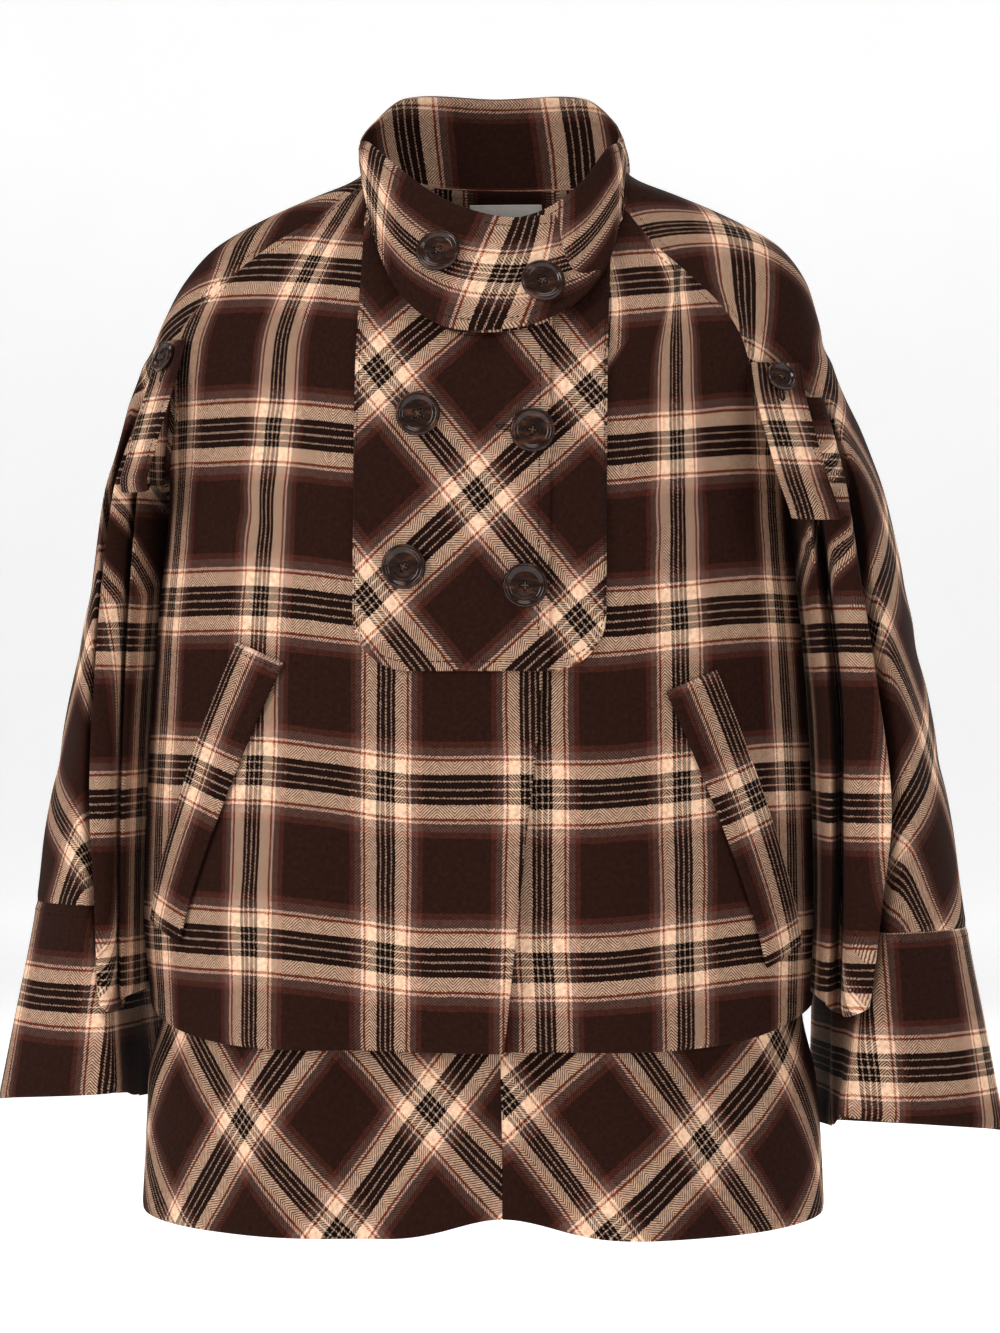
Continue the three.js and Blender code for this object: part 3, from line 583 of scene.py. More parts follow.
def checked_wool(name):
    """Napped wool twill in a large check, with a pressed line beside each seam."""
    n = Nodes(name)
    cloth = n.add("ShaderNodeUVMap", uv_map="cloth").outputs["UV"]
    split = n.add("ShaderNodeSeparateXYZ", {"Vector": cloth})
    nap = n.noise(cloth, 900, 2)
    haze = n.noise(cloth, 330, 3)
    drift = n.noise(cloth, 14, 2)
    wobble = n.math("MULTIPLY", n.math("SUBTRACT", nap, 0.5), 2.1 * MM)
    bow = n.math("MULTIPLY", n.math("SUBTRACT", drift, 0.5), 3 * MM)
    x = n.math("ADD", n.math("ADD", split.outputs["X"], wobble), bow)
    y = n.math("SUBTRACT", n.math("ADD", split.outputs["Y"], wobble), bow)
    warp = stripe_colours(n, x, WARP_REPEAT, WARP_STRIPES)
    weft = stripe_colours(n, y, WEFT_REPEAT, WEFT_STRIPES)
    zigzag = n.math("PINGPONG", split.outputs["X"], ZIGZAG * MM)
    diagonal = n.math("DIVIDE", n.math("ADD", zigzag, split.outputs["Y"]), TWILL * MM)
    uneven = n.math("ADD", diagonal, n.math("MULTIPLY", n.math("SUBTRACT", haze, 0.5), 0.7))
    wave = n.math("SINE", n.math("MULTIPLY", uneven, 2 * math.pi))
    mask = n.add(
        "ShaderNodeMapRange", {"Value": wave, "From Min": -0.75, "From Max": 0.55, "To Min": 0.06, "To Max": 0.96}
    ).outputs["Result"]
    both = n.add("ShaderNodeVectorMath", {0: warp, 1: weft}, operation="MULTIPLY").outputs[0]
    root = n.add("ShaderNodeVectorMath", {0: both, 1: (0.5, 0.5, 0.5)}, operation="POWER").outputs[0]
    woven = n.mix(0.4, n.mix(mask, warp, weft), root)
    fuzz = n.add("ShaderNodeMapRange", {"Value": haze, "From Min": 0.25, "From Max": 0.75, "To Min": 0.7, "To Max": 1.28})
    fuzzy = n.add("ShaderNodeVectorMath", {0: woven, "Scale": fuzz.outputs["Result"]}, operation="SCALE").outputs[0]
    n.link(fuzzy, "Base Color")
    near = n.add("ShaderNodeSeparateXYZ", {"Vector": n.add("ShaderNodeUVMap", uv_map="edge").outputs["UV"]})
    pressed = n.ramp(
        n.math("DIVIDE", near.outputs["X"], 12 * MM),
        [(0, (0.2, 0.2, 0.2, 1)), (0.14, (0.9, 0.9, 0.9, 1)), (0.36, (0.9, 0.9, 0.9, 1)), (0.5, (0.25, 0.25, 0.25, 1)),
         (0.64, (0.9, 0.9, 0.9, 1)), (1, (0.8, 0.8, 0.8, 1))],
        "EASE",
    )
    raised = n.math("ADD", n.math("MULTIPLY", mask, 0.16), n.math("MULTIPLY", nap, 0.3))
    height = n.math("ADD", raised, n.math("MULTIPLY", pressed, 1.3))
    bump = n.add("ShaderNodeBump", {"Strength": 0.55, "Distance": 0.5 * MM, "Height": height})
    n.link(bump.outputs["Normal"], "Normal")
    n.set(Roughness=0.93, Sheen_Weight=0.02, Sheen_Roughness=0.4, Specular_IOR_Level=0.06)
    n.shader.inputs["Sheen Tint"].default_value = linear((235, 215, 200))
    return n.material


wool = checked_wool("checked wool")
print("check repeats every", WARP_REPEAT, "by", WEFT_REPEAT, "mm, twill lines", TWILL, "mm apart")

# %% [markdown]
# The two fronts meet at a pleat. The wearer's right front folds over at a line that runs from under the
# bib to the hem, and its edge stands out a little more on the way down. The left front tucks under it.
# Both are drawn on the body's sections between the raglan seam and the pleat. The check runs straight
# down the cloth, so its place across comes from lengths along the rows, and its place down from height.

# %% Fronts
PLEAT = columns("z x lift", (-90, 38, 0), (-311, 40, 0.5), (-420, 30, 4), (-552, 17, 9))
PLEAT_REACH = 46
PLEAT_LAP = 15
SIDES = {
    "right": {"sign": -1, "cuff_seam": -463, "cuff_hem": -590, "corner_rise": 9},
    "left": {"sign": 1, "cuff_seam": -478, "cuff_hem": -606, "corner_rise": 14},
}
# Where a black stripe runs down each front, as X at a height, the height of a black band, and how far
# the bands lie higher between two places across, since the cloth hangs from the shoulders.
FRONT_CHECK = {
    "right": {"x": -57, "lean": 0.0, "band": -280, "rise": 11.5, "level": -20, "risen": -150},
    "left": {"x": 125, "lean": -0.02, "band": -283, "rise": 10, "level": 60, "risen": 190},
}


def pleat_angle(z):
    return angle_at((read(PLEAT, "x", z) - read(BODY, "shift", z)) / read(BODY, "half", z))


def measured_from(across, points, x_at):
    """Lengths across, counted from the line where the cloth passes a given X."""
    zero = []
    for row, far in zip(points, across):
        x = x_at(row[0, 2])
        beyond = x - np.clip(x, row[0, 0], row[-1, 0])
        zero.append(np.interp(x, row[:, 0], far) + beyond)
    return across - np.array(zero)[:, None]


def straight_map(place):
    def cloth(across, down, points):
        x = measured_from(across, points, lambda z: place["x"] + place["lean"] * (z + 300))
        start, end = sorted((place["level"], place["risen"]))
        risen = ease(start, end, points[..., 0])
        risen = risen if place["risen"] > 0 else 1 - risen
        return np.stack([x, place["band"] + place["rise"] * risen - points[..., 2]], -1)

    return cloth


def front(side):
    over, sign = side == "right", SIDES[side]["sign"]

    def edge_angle(z):
        edge = angle_at(edge_share(z, side))
        return sign * (edge - turn_by(SEAM_GAP, edge, z))

    def middle_angle(z):
        middle = pleat_angle(z)
        return middle if over else middle - turn_by(PLEAT_LAP, middle, z)

    def angle_of(share, z):
        start, end = (edge_angle(z), middle_angle(z)) if over else (middle_angle(z), edge_angle(z))
        return mix(start, end, share)

    def relief(angle, z):
        beyond = (angle - pleat_angle(z)) / turn_by(1, angle, z)
        if over:
            return read(PLEAT, "lift", z) * ease(-PLEAT_REACH, 0, beyond)
        return -(CLOTH + LAYER_GAP) * (1 - ease(0, PLEAT_REACH / 2, beyond))

    def line(share, z):
        angle = angle_of(share, z)
        return body_point(angle, z, relief(angle, z))

    width = 250 if over else 200
    across = shares(width)
    top = neck_height(lambda z: body_point(angle_of(across, z), z), len(across))
    hem = shell_hem(angle_of(across, SHELL_HEM))
    points = hang(line, across, top, hem)
    return shell(f"cloth_front_{side}", points, straight_map(FRONT_CHECK[side]), wool)


fronts = {side: front(side) for side in SIDES}
print({side: len(piece.data.vertices) for side, piece in fronts.items()}, "points in the fronts")

# %% [markdown]
# The photo never shows the back, so it is finished plainly, as such a coat has it: one wide panel
# between two raglan seams that mirror the front's. Its bands meet the fronts' at the side seams.

# %% Back
BACK_CHECK = {"x": 4, "band": -278}
# The check on the back's inner face is the real cloth, shifted so that a dark band of it lies inside the back of the
# neck as painted shade there.
BACK_INNER_SHIFT_PAINTED_SHADE = (45, 40)


def back_map(across, down, points):
    x = measured_from(across, points * [-1, 1, 1], lambda z: -BACK_CHECK["x"])
    low = down[-1] - down
    return np.stack([x, low - (BACK_CHECK["band"] - SHELL_HEM) + WEFT_REPEAT * 5], -1) * [1, -1]


def back():
    def edge(z):
        angle = angle_at(edge_share(z, "back"))
        return angle - turn_by(SEAM_GAP, angle, z)

    def angle_of(share, z):
        return math.pi + mix(-edge(z), edge(z), share)

    across = shares(520)
    top = neck_height(lambda z: body_point(angle_of(across, z), z), len(across))
    hem = shell_hem(angle_of(across, SHELL_HEM))
    points = hang(lambda share, z: body_point(angle_of(share, z), z), across, top, hem)
    return shell("cloth_back", points, back_map, wool, inner_shift=BACK_INNER_SHIFT_PAINTED_SHADE)


back_piece = back()
print(len(back_piece.data.vertices), "points in the back")

# %% [markdown]
# The bib is a separate shaped piece sewn on top of the fronts, cut on the bias, so its check stands on
# its corners. One lap lies over the other. Each is the front's own surface moved out by a layer, and
# only the lower corners are rounded. A bias check is the same cloth turned, so the map takes two
# slanted directions, measured from crossing to crossing.

# %% Bib
BIB = {"right": -77, "left": 79, "top": -22, "bottom": -312, "radius": 34, "over_edge": 44, "under_start": 22}
BIB_LIFT = CLOTH + LAYER_GAP + 0.4
BIB_STEP = 12


def bias_map(start, warp_step, weft_step, plane=(0, 2)):
    steps = np.array([warp_step, weft_step], float).T
    turn = np.linalg.inv(steps)

    def cloth(across, down, points):
        flat = points[..., list(plane)] - np.array(start, float)
        return flat @ turn.T * [WARP_REPEAT, WEFT_REPEAT]

    return cloth


def front_point(x, z, offset=0.0):
    return body_point(angle_at((x - read(BODY, "shift", z)) / read(BODY, "half", z)), z, offset)


def corner_rise(distance):
    """How much a rounded corner lifts the bib's lower edge, at a distance from its side."""
    radius = BIB["radius"]
    near = np.clip(radius - np.maximum(distance, 0), 0, radius)
    return radius - np.sqrt(radius**2 - near**2)


def over_lift(x):
    start = BIB["under_start"]
    return BIB_LIFT + (CLOTH + LAYER_GAP) * ease(start - BIB_STEP, start - 2, x)


def bib_piece(name, start, end, round_side, lift_at):
    across = shares(end - start, 3.0)
    x = mix(start, end, across)
    to_side = x - start if round_side < 0 else end - x
    top = np.minimum(neck_height(lambda z: front_point(x, z), len(x)) - SEAM_GAP, BIB["top"])
    bottom = BIB["bottom"] + corner_rise(to_side)
    points = hang(lambda at, z: front_point(mix(start, end, at), z, lift_at(mix(start, end, at))), across, top, bottom, 3.0)
    return shell(name, points, bias_map((0.6, -203), (-69.6, -65), (63.5, -78.3)), wool)


bib_over = bib_piece("cloth_bib_over", BIB["right"], BIB["over_edge"], -1, over_lift)
bib_under = bib_piece("cloth_bib_under", BIB["under_start"], BIB["left"], 1, lambda x: BIB_LIFT + x * 0)
print("bib:", BIB["left"] - BIB["right"], "mm across")

# %% [markdown]
# The collar is one band that goes round the neck and then past its own start, so it is drawn as a
# spiral: its turn runs from the under end to the over end, a little more than a full circle. The foot
# follows the neck and the rim has its own table, because the rim stands high behind and falls forward
# at the front. Its inner face is a second layer of cloth, so the check there is shifted.

# %% Collar
COLLAR = {"under_end": -14, "over_end": 404, "end_slant": 15, "slant_start": 370, "lap_start": 285, "lap_end": 345}
COLLAR_ROOM = {"bib": 6.6, "bib_edge": 79, "bib_fade": 8, "front_end": 0.35, "belly": 2.5}
COLLAR_RIM = columns(
    "turn x y z",
    (-30, -46, -76, -22),
    (0, -2, -87, -30),
    (25, 36, -79, -22),
    (45, 60, -65, -4),
    (67, 75, -38, 20),
    (90, 82, -8, 30),
    (112, 77, 24, 46),
    (135, 54, 57, 65),
    (180, -6, 76, 67),
    (225, -64, 54, 66),
    (248, -83, 22, 46),
    (270, -88, -8, 31),
    (290, -79, -36, 27),
    (313, -56, -63, 8),
    (337, -30, -80, -11),
    (355, -7, -87, -22),
    (372, 17, -88, -27),
    (388, 40, -80, -25),
    (404, 65, -63, -24),
    (430, 90, -30, -15),
)
COLLAR_CROSSING = 373
COLLAR_BAND = 0.47
COLLAR_STRETCH = 1.16
COLLAR_INNER_SHIFT = 43
COLLAR_SHEAR = 0.3


def collar_point(turn, rise):
    """A point of the collar: turn goes round the neck, rise from the foot to the rim."""
    turn, rise = (np.asarray(a, float) for a in np.broadcast_arrays(turn, rise))
    angle = np.radians(turn)
    lap = (CLOTH + LAYER_GAP) * ease(COLLAR["lap_start"], COLLAR["lap_end"], turn)
    shoulder = read(BODY, "half", np.where(np.sin(angle) < 0, *FOOT["tops"]))
    foot_x = shoulder * np.sin(angle)
    before = np.cos(angle) > 0
    foot_z = neck_curve(FOOT, foot_x, np.where(before, -1, 1))
    to_edge = angle_at(foot_x / read(BODY, "half", foot_z))
    room = COLLAR_ROOM
    over_bib = room["bib"] * (1 - ease(room["bib_edge"], room["bib_edge"] + room["bib_fade"], np.abs(foot_x)))
    in_front = ease(0, room["front_end"], np.cos(angle))
    lift = mix(SEAM_GAP, CLOTH + LAYER_GAP + over_bib, in_front) + lap
    foot = body_point(np.where(before, to_edge, math.pi - to_edge), foot_z, lift)
    out = join(np.sin(angle), -np.cos(angle), 0)
    rim_line = join(*[read(COLLAR_RIM, axis, turn, "turn") for axis in "xyz"]) + out * lap[..., None]
    swell = room["belly"] * np.sin(math.pi * rise)
    return mix(foot, rim_line, rise[..., None]) + out * swell[..., None]


def collar_turns():
    """Turns of the collar's columns, even along its foot and rim, and closer at both ends."""
    turns = np.linspace(COLLAR["under_end"], COLLAR["over_end"], 1200)
    steps = sum(lengths(collar_point(turns, rise)[None], 1)[0] for rise in (0.0, 1.0)) / 2
    return np.interp(shares(steps[-1], 3.2) * steps[-1], steps, turns)


def collar():
    turns = collar_turns()[None, :]
    rise = 1 - shares(75, 3.0)[:, None]
    slant = COLLAR["end_slant"] * (1 - rise) * ease(COLLAR["slant_start"], COLLAR["over_end"], turns)
    points = collar_point(turns + slant, rise)

    def cloth(across, down, points):
        middle = int(points.shape[0] / 2)
        along = across[middle] - np.interp(COLLAR_CROSSING, turns[0], across[middle])
        height = down - down[-1] * (1 - COLLAR_BAND)
        along = along + COLLAR_SHEAR * height * ease(COLLAR["lap_start"], COLLAR["slant_start"], turns)
        return np.stack(np.broadcast_arrays(height, along / COLLAR_STRETCH), -1)

    return shell("cloth_collar", points, cloth, wool, inner_shift=(COLLAR_INNER_SHIFT, 12))


collar_piece = collar()
print("collar band:", round(float(PIECES["cloth_collar"].across[-1].max())), "mm long at its foot")

# %% [markdown]
# A raglan sleeve runs from the neck over the shoulder to the cuff in one piece. Above the underarm its
# edges lie on the body's oval, and below it the cloth closes into a tube. Each height has seven points
# across the sleeve, joined by a centripetal Catmull-Rom curve, which never loops where points stand
# close together. The edges lie so far apart at the top that the same curve serves for both forms.

# %% Sleeves
ARM_LINE = columns(
    "z out",
    (12, 84), (-40, 186), (-100, 219), (-120, 227), (-150, 237), (-200, 251),
    (-260, 264), (-330, 278), (-400, 291), (-478, 302), (-540, 314), (-606, 327),
)
ARM = {
    "right": columns(
        "z inner corner front back",
        (-120, 212, 213, 74, 74),
        (-200, 228, 246, 60, 82),
        (-260, 231, 250, 64, 88),
        (-330, 233, 256, 67, 92),
        (-400, 234, 259, 69, 94),
        (-478, 234, 254, 70, 96),
        (-606, 234, 236, 76, 102),
    ),
    "left": columns(
        "z inner corner front back",
        (-120, 205, 208, 74, 74),
        (-200, 213, 237, 60, 82),
        (-260, 214, 246, 64, 88),
        (-330, 215, 257, 67, 92),
        (-400, 217, 264, 69, 94),
        (-478, 218, 256, 70, 96),
        (-606, 217, 226, 76, 102),
    ),
}
ARM_SEAM_Y = 10
ARM_SEAM_HALF_GAP = 0.9
CUFF_INWARD = 0.42
# Soft bends of the sleeve: height, place round it as a share, depth, how tall and how wide.
SLEEVE_DENTS = columns(
    "z share depth tall wide",
    (-215, 0.36, -2.4, 16, 0.13),
    (-262, 0.46, -2.0, 13, 0.16),
    (-300, 0.62, -2.6, 15, 0.15),
    (-338, 0.34, 1.8, 20, 0.12),
    (-372, 0.56, -1.8, 14, 0.17),
    (-420, 0.42, 1.6, 24, 0.12),
    (-180, 0.72, -2.6, 18, 0.12),
    (-150, 0.56, 1.4, 22, 0.14),
)


def along(points, share, closed=False):
    """Places on a centripetal Catmull-Rom curve through points, given as (point, ..., 3)."""
    count = len(points)
    place = np.clip(share, 0, 1) * (count if closed else count - 1)
    i = np.minimum(np.floor(place).astype(int), (count if closed else count - 1) - 1)
    t = (place - i)[..., None]
    if closed:
        line = np.concatenate([points[-1:], points, points[:2]])
    else:
        line = np.concatenate([points[:1] * 2 - points[1:2], points, points[-1:] * 2 - points[-2:-1]])
    shape = i.shape
    grid = np.indices(shape)
    a, b, c, d = (np.broadcast_to(line, (len(line), *shape, 3))[(i + k, *grid)] for k in range(4))

    def gap(p, q):
        return np.maximum(np.sum((p - q) ** 2, -1, keepdims=True) ** 0.25, 1e-4)

    ab, bc, cd = gap(a, b), gap(b, c), gap(c, d)
    slope_b = ((b - a) / ab - (c - a) / (ab + bc) + (c - b) / bc) * bc
    slope_c = ((c - b) / bc - (d - b) / (bc + cd) + (d - c) / cd) * bc
    t2, t3 = t * t, t * t * t
    return (
        (2 * t3 - 3 * t2 + 1) * b + (t3 - 2 * t2 + t) * slope_b + (3 * t2 - 2 * t3) * c + (t3 - t2) * slope_c
    )


def arm_points(side, z):
    """Seven points across the sleeve's cloth at each height, from its front edge round to its back edge."""
    sign, rows = SIDES[side]["sign"], ARM[side]
    front_edge = angle_at(edge_share(z, side))
    back_edge = math.pi - angle_at(edge_share(z, "back"))
    half = read(BODY, "half", z)
    out = mix(half, read(ARM_LINE, "out", z), ease(-RAGLAN_END - 10, -RAGLAN_END + 10, -z))
    high = []
    for k in range(7):
        wide = mix(half, out, math.sin(math.pi * k / 6))
        high.append(oval_point(sign * mix(front_edge, back_edge, k / 6), z, wide, 0.0))
    high[0] = oval_point(sign * (front_edge + turn_by(SEAM_GAP, front_edge, z)), z, half, 0.0)
    high[6] = oval_point(sign * (back_edge - turn_by(SEAM_GAP, back_edge, z)), z, half, 0.0)
    inner, corner = read(rows, "inner", z), read(rows, "corner", z)
    before, behind = -read(rows, "front", z), read(rows, "back", z)
    low = [
        (inner, ARM_SEAM_Y - ARM_SEAM_HALF_GAP),
        (mix(inner, corner, 0.42), mix(ARM_SEAM_Y, before, 0.42)),
        (corner, before),
        (out, mix(before, behind, 0.36)),
        (mix(corner, out, 0.7), behind * 0.86),
        (mix(inner, out, 0.32 - CUFF_INWARD * ease(400, 490, -z)), behind),
        (inner, ARM_SEAM_Y + ARM_SEAM_HALF_GAP),
    ]
    share = ease(-RAGLAN_END, -UNDERARM, -z)[..., None]
    on_body = (z > UNDERARM)[..., None]
    points = []
    for k, (x, y) in enumerate(low):
        point = mix(high[k], join(sign * x, y, z), share)
        points.append(np.where(on_body, high[k], point) if k in (0, 6) else point)
    return np.stack(points)


def sleeve_dents(share, z):
    relief = np.zeros(np.broadcast(share, z).shape)
    for height, place, depth, tall, wide in zip(*SLEEVE_DENTS.values()):
        relief = relief + depth * hump(z - height, tall) * hump(share - place, wide)
    return relief * ease(0, 0.12, share) * (1 - ease(0.88, 1, share))


SLEEVE_CHECK = {
    "right": {"turn": 57.4, "start": (-77, 546)},
    "left": {"turn": -33, "start": (-12, 456)},
}


def turned_map(place, across_zero):
    """The check turned in the cloth, counted from a line down the piece."""
    turn = math.radians(place["turn"])

    def cloth(across, down, points):
        x = across - across_zero(across) - place["start"][0]
        y = down - place["start"][1]
        return np.stack([x * math.cos(turn) + y * math.sin(turn), y * math.cos(turn) - x * math.sin(turn)], -1)

    return cloth


def sleeve(side):
    sign, seam = SIDES[side]["sign"], SIDES[side]["cuff_seam"]

    def line(share, z):
        share, z = (np.asarray(a, float) for a in np.broadcast_arrays(share, z))
        points = arm_points(side, z)
        place = along(points, share)
        middle = points[1:6].mean(0)
        out = place - middle
        out[..., 2] = 0
        out /= np.maximum(np.linalg.norm(out, axis=-1, keepdims=True), 1e-6)
        return place + out * (sleeve_dents(share, z) * ease(120, 160, -z))[..., None]

    across = shares(330)
    top = neck_height(lambda z: line(across, z), len(across))
    points = hang(line, across, top, np.full(len(across), seam + SEAM_GAP))
    zero = turned_map(SLEEVE_CHECK[side], lambda far: far[:, len(across) // 2][:, None])
    return shell(f"cloth_sleeve_{side}", points, zero, wool, outward=sign)


sleeves = {side: sleeve(side) for side in SIDES}
print({side: len(piece.data.vertices) for side, piece in sleeves.items()}, "points in the sleeves")

# %% [markdown]
# The cuff is a wider band sewn to the sleeve's end. It continues the sleeve's lines as a closed ring, and
# its hem rises at the front corner and drops behind, so that the inside of the back shows below it.

# %% Cuffs
CUFF_CORNER = {"at": 0.3, "width": 0.16}
CUFF_BACK = {"at": 0.7, "width": 0.2, "drop": 8}
CUFF_CHECK = {
    "right": {"across": -150, "down": 60, "stretch": 1.25},
    "left": {"across": -151, "down": 86, "stretch": 1.14},
}


def cuff(side):
    place = SIDES[side]
    across = np.linspace(0, 1, 90)
    corner = place["corner_rise"] * hump(across - CUFF_CORNER["at"], CUFF_CORNER["width"])
    hem = place["cuff_hem"] + corner - CUFF_BACK["drop"] * hump(across - CUFF_BACK["at"], CUFF_BACK["width"])

    def line(share, z):
        share, z = (np.asarray(a, float) for a in np.broadcast_arrays(share, z))
        return along(arm_points(side, z)[:6], share, closed=True)

    points = hang(line, across, np.full(len(across), place["cuff_seam"] - SEAM_GAP), hem)

    def cloth(across, down, points):
        check = CUFF_CHECK[side]
        x = across - across[:, -1:] * 0.5 - check["across"]
        return np.stack([x / check["stretch"], down - check["down"]], -1)

    return shell(f"cloth_cuff_{side}", points, cloth, wool, ring=True, outward=place["sign"])


cuffs = {side: cuff(side) for side in SIDES}
print("cuff seam at", {side: place["cuff_seam"] for side, place in SIDES.items()}, "mm")

# %% [markdown]
# In each arm slit hangs a strip of cloth in deep vertical folds. Its section is a zigzag with a few named
# points, the ridge by the body, the valley, the fold, the turn by the sleeve and the tuck, and each of
# them has its own table of places on the way down. The hem sags between its ends.

# %% Drapes
DRAPE_OUT = {
    "right": columns(
        "z ridge valley fold turn tuck",
        (-140, 211, 215, 219, 223, 226),
        (-200, 224, 228, 231, 240, 240),
        (-330, 231, 234, 238, 250, 248),
        (-400, 233, 236, 240, 252, 250),
        (-460, 234, 236, 240, 249, 247),
        (-530, 235, 238, 241, 247, 244),
    ),
    "left": columns(
        "z ridge valley fold turn tuck",
        (-140, 190, 197, 204, 211, 215),
        (-200, 203, 208, 215, 226, 230),
        (-330, 217, 224, 230, 249, 247),
        (-400, 219, 225, 231, 257, 252),
        (-460, 219, 225, 231, 251, 247),
        (-530, 216, 223, 230, 243, 239),
    ),
}
DRAPE_BEFORE = {
    "right": columns(
        "z ridge valley fold turn tuck",
        (-140, 56, 50, 52, 48, 40),
        (-200, 60, 40, 58, 64, 56),
        (-330, 70, 34, 76, 80, 68),
        (-460, 70, 30, 78, 82, 72),
        (-530, 62, 46, 80, 80, 68),
    ),
    "left": columns(
        "z ridge valley fold turn tuck",
        (-140, 72, 58, 63, 60, 52),
        (-200, 72, 42, 76, 76, 66),
        (-330, 72, 30, 78, 82, 70),
        (-460, 72, 28, 80, 84, 74),
        (-530, 66, 48, 82, 82, 70),
    ),
}
DRAPE_TOP = -140
DRAPE_HEM = -512
DRAPE_HEM_SAG = 18
DRAPE_ROOT = math.radians(26)
# The check's place across each drape puts dark yarn on the stretch from the root to the ridge: the real check, placed
# as painted shade for the deep shadow there.
DRAPE_CHECK_PAINTED_SHADE = {"right": (22, -291), "left": (11, -292)}


def drape(side):
    sign = SIDES[side]["sign"]
    folds = ("ridge", "valley", "fold", "turn", "tuck")

    def line(share, z):
        share, z = (np.asarray(a, float) for a in np.broadcast_arrays(share, z))
        root_angle = angle_at(edge_share(z, side)) + DRAPE_ROOT * ease(-UNDERARM - 12, -UNDERARM + 18, -z)
        points = [body_point(sign * root_angle, z, CLOTH + LAYER_GAP)]
        for fold in folds:
            out, before = read(DRAPE_OUT[side], fold, z), read(DRAPE_BEFORE[side], fold, z)
            points.append(join(sign * out, -before, z))
        place = along(np.stack(points), share)
        place[..., 2] = z
        return place

    across = shares(210, 2.6)
    hem = DRAPE_HEM - DRAPE_HEM_SAG * np.sin(math.pi * across)
    points = hang(line, across, np.full(len(across), float(DRAPE_TOP)), hem)

    def cloth(across, down, points):
        start = DRAPE_CHECK_PAINTED_SHADE[side]
        return np.stack([across - start[0], start[1] - points[..., 2]], -1)

    return shell(f"cloth_drape_{side}", points, cloth, wool, outward=sign)


drapes = {side: drape(side) for side in SIDES}
print("drapes hang to", DRAPE_HEM - DRAPE_HEM_SAG, "mm")

# %% [markdown]
# The lower tier hangs from inside the shell's hem, in three bias-cut panels. The two front ones part at a
# slit, where the hem rises a little.

# %% Lower tier
TIER = {"hem": -666, "side_rise": 6, "overlap": 14, "tuck": 7, "release": 50}
SLIT = {"x": 17, "gap": 1.2, "rise": 14, "width": 42}


def tier_line(angle, share):
    hem = shell_hem(angle)
    x = read(BODY, "half", TIER["hem"]) * power(np.sin(angle)) + read(BODY, "shift", TIER["hem"])
    slit_rise = np.where(np.cos(angle) > 0, SLIT["rise"] * hump(x - SLIT["x"], SLIT["width"]), 0)
    low = TIER["hem"] + TIER["side_rise"] * np.sin(angle) ** 6 + slit_rise
    z = mix(hem + TIER["overlap"], low, share)
    return body_point(angle, z, -TIER["tuck"] * ease(hem - TIER["release"], hem, z))


def tier(name, start, end, width, cloth):
    across = shares(width)[None, :]
    down = shares(135)[:, None]
    points = tier_line(*np.broadcast_arrays(mix(start, end, across), down))
    return shell(name, points, cloth, wool)


def round_bias(start, warp_step, weft_step):
    """A bias check measured round the body, so that it isn't drawn out at the sides."""
    flat = bias_map(start, warp_step, weft_step)

    def cloth(across, down, points):
        round_body = points.copy()
        round_body[..., 0] = measured_from(across, points, lambda z: start[0]) + start[0]
        return flat(across, down, round_body)

    return cloth


def back_bias(across, down, points):
    turn = math.radians(48)
    x, y = across - across[:, -1:] / 2, down
    return np.stack([x * math.cos(turn) + y * math.sin(turn), y * math.cos(turn) - x * math.sin(turn)], -1)


slit_angle = angle_at((SLIT["x"] - read(BODY, "shift", TIER["hem"])) / read(BODY, "half", TIER["hem"]))
slit_half = turn_by(SLIT["gap"] / 2, slit_angle, TIER["hem"])
side_gap = turn_by(SEAM_GAP, math.pi / 2, TIER["hem"])
TIER_CHECK = {
    "right": round_bias((-86, -664), (60, 79), (66, -68)),
    "left": round_bias((84, -664), (64, 57), (-68, 86)),
}
tiers = {
    "right": tier("cloth_tier_right", -math.pi / 2 + side_gap, slit_angle - slit_half, 270, TIER_CHECK["right"]),
    "left": tier("cloth_tier_left", slit_angle + slit_half, math.pi / 2 - side_gap, 240, TIER_CHECK["left"]),
    "back": tier("cloth_tier_back", math.pi / 2 + side_gap, 3 * math.pi / 2 - side_gap, 520, back_bias),
}
print("tier hem at", TIER["hem"], "mm")

# %% [markdown]
# Each pocket is closed by a slanted welt, a stiff folded strip that lies on the front. Its long sides are
# folds and its short ends are stitched flat.

# %% Welts
WELT_CLOTH = 3.4
WELT = {"width": 35, "lean": 0.36}
WELTS = {
    "right": {"top": 0.612, "top_z": -302, "bottom": 0.888, "bottom_z": -478, "check": (1, 87)},
    "left": {"top": 0.671, "top_z": -320, "bottom": 0.91, "bottom_z": -492, "check": (29, 82)},
}


def welt(side):
    sign, place = SIDES[side]["sign"], WELTS[side]
    start, end = angle_at(place["top"]), angle_at(place["bottom"])
    across = shares(WELT["width"], 2.6)[None, :] - 0.5
    down = shares(195, 3.2)[:, None]
    middle = mix(start, end, down)
    z = mix(place["top_z"], place["bottom_z"], down) + sign * across * WELT["width"] * WELT["lean"]
    angle = sign * middle + turn_by(across * WELT["width"], middle, z)
    points = body_point(angle, z, WELT_CLOTH + LAYER_GAP)

    def cloth(across, down, points):
        return np.stack([across - place["check"][0], down - place["check"][1]], -1)

    return shell(f"cloth_welt_{side}", points, cloth, wool, thickness=WELT_CLOTH)


welts = {side: welt(side) for side in SIDES}
print("welts:", WELT["width"], "mm wide")

# %% [markdown]
# The shoulder tabs hang from the raglan seam and hook under at their ends. A tab is a flat strip along a
# bent line, so its middle line and the way that it faces say it all.

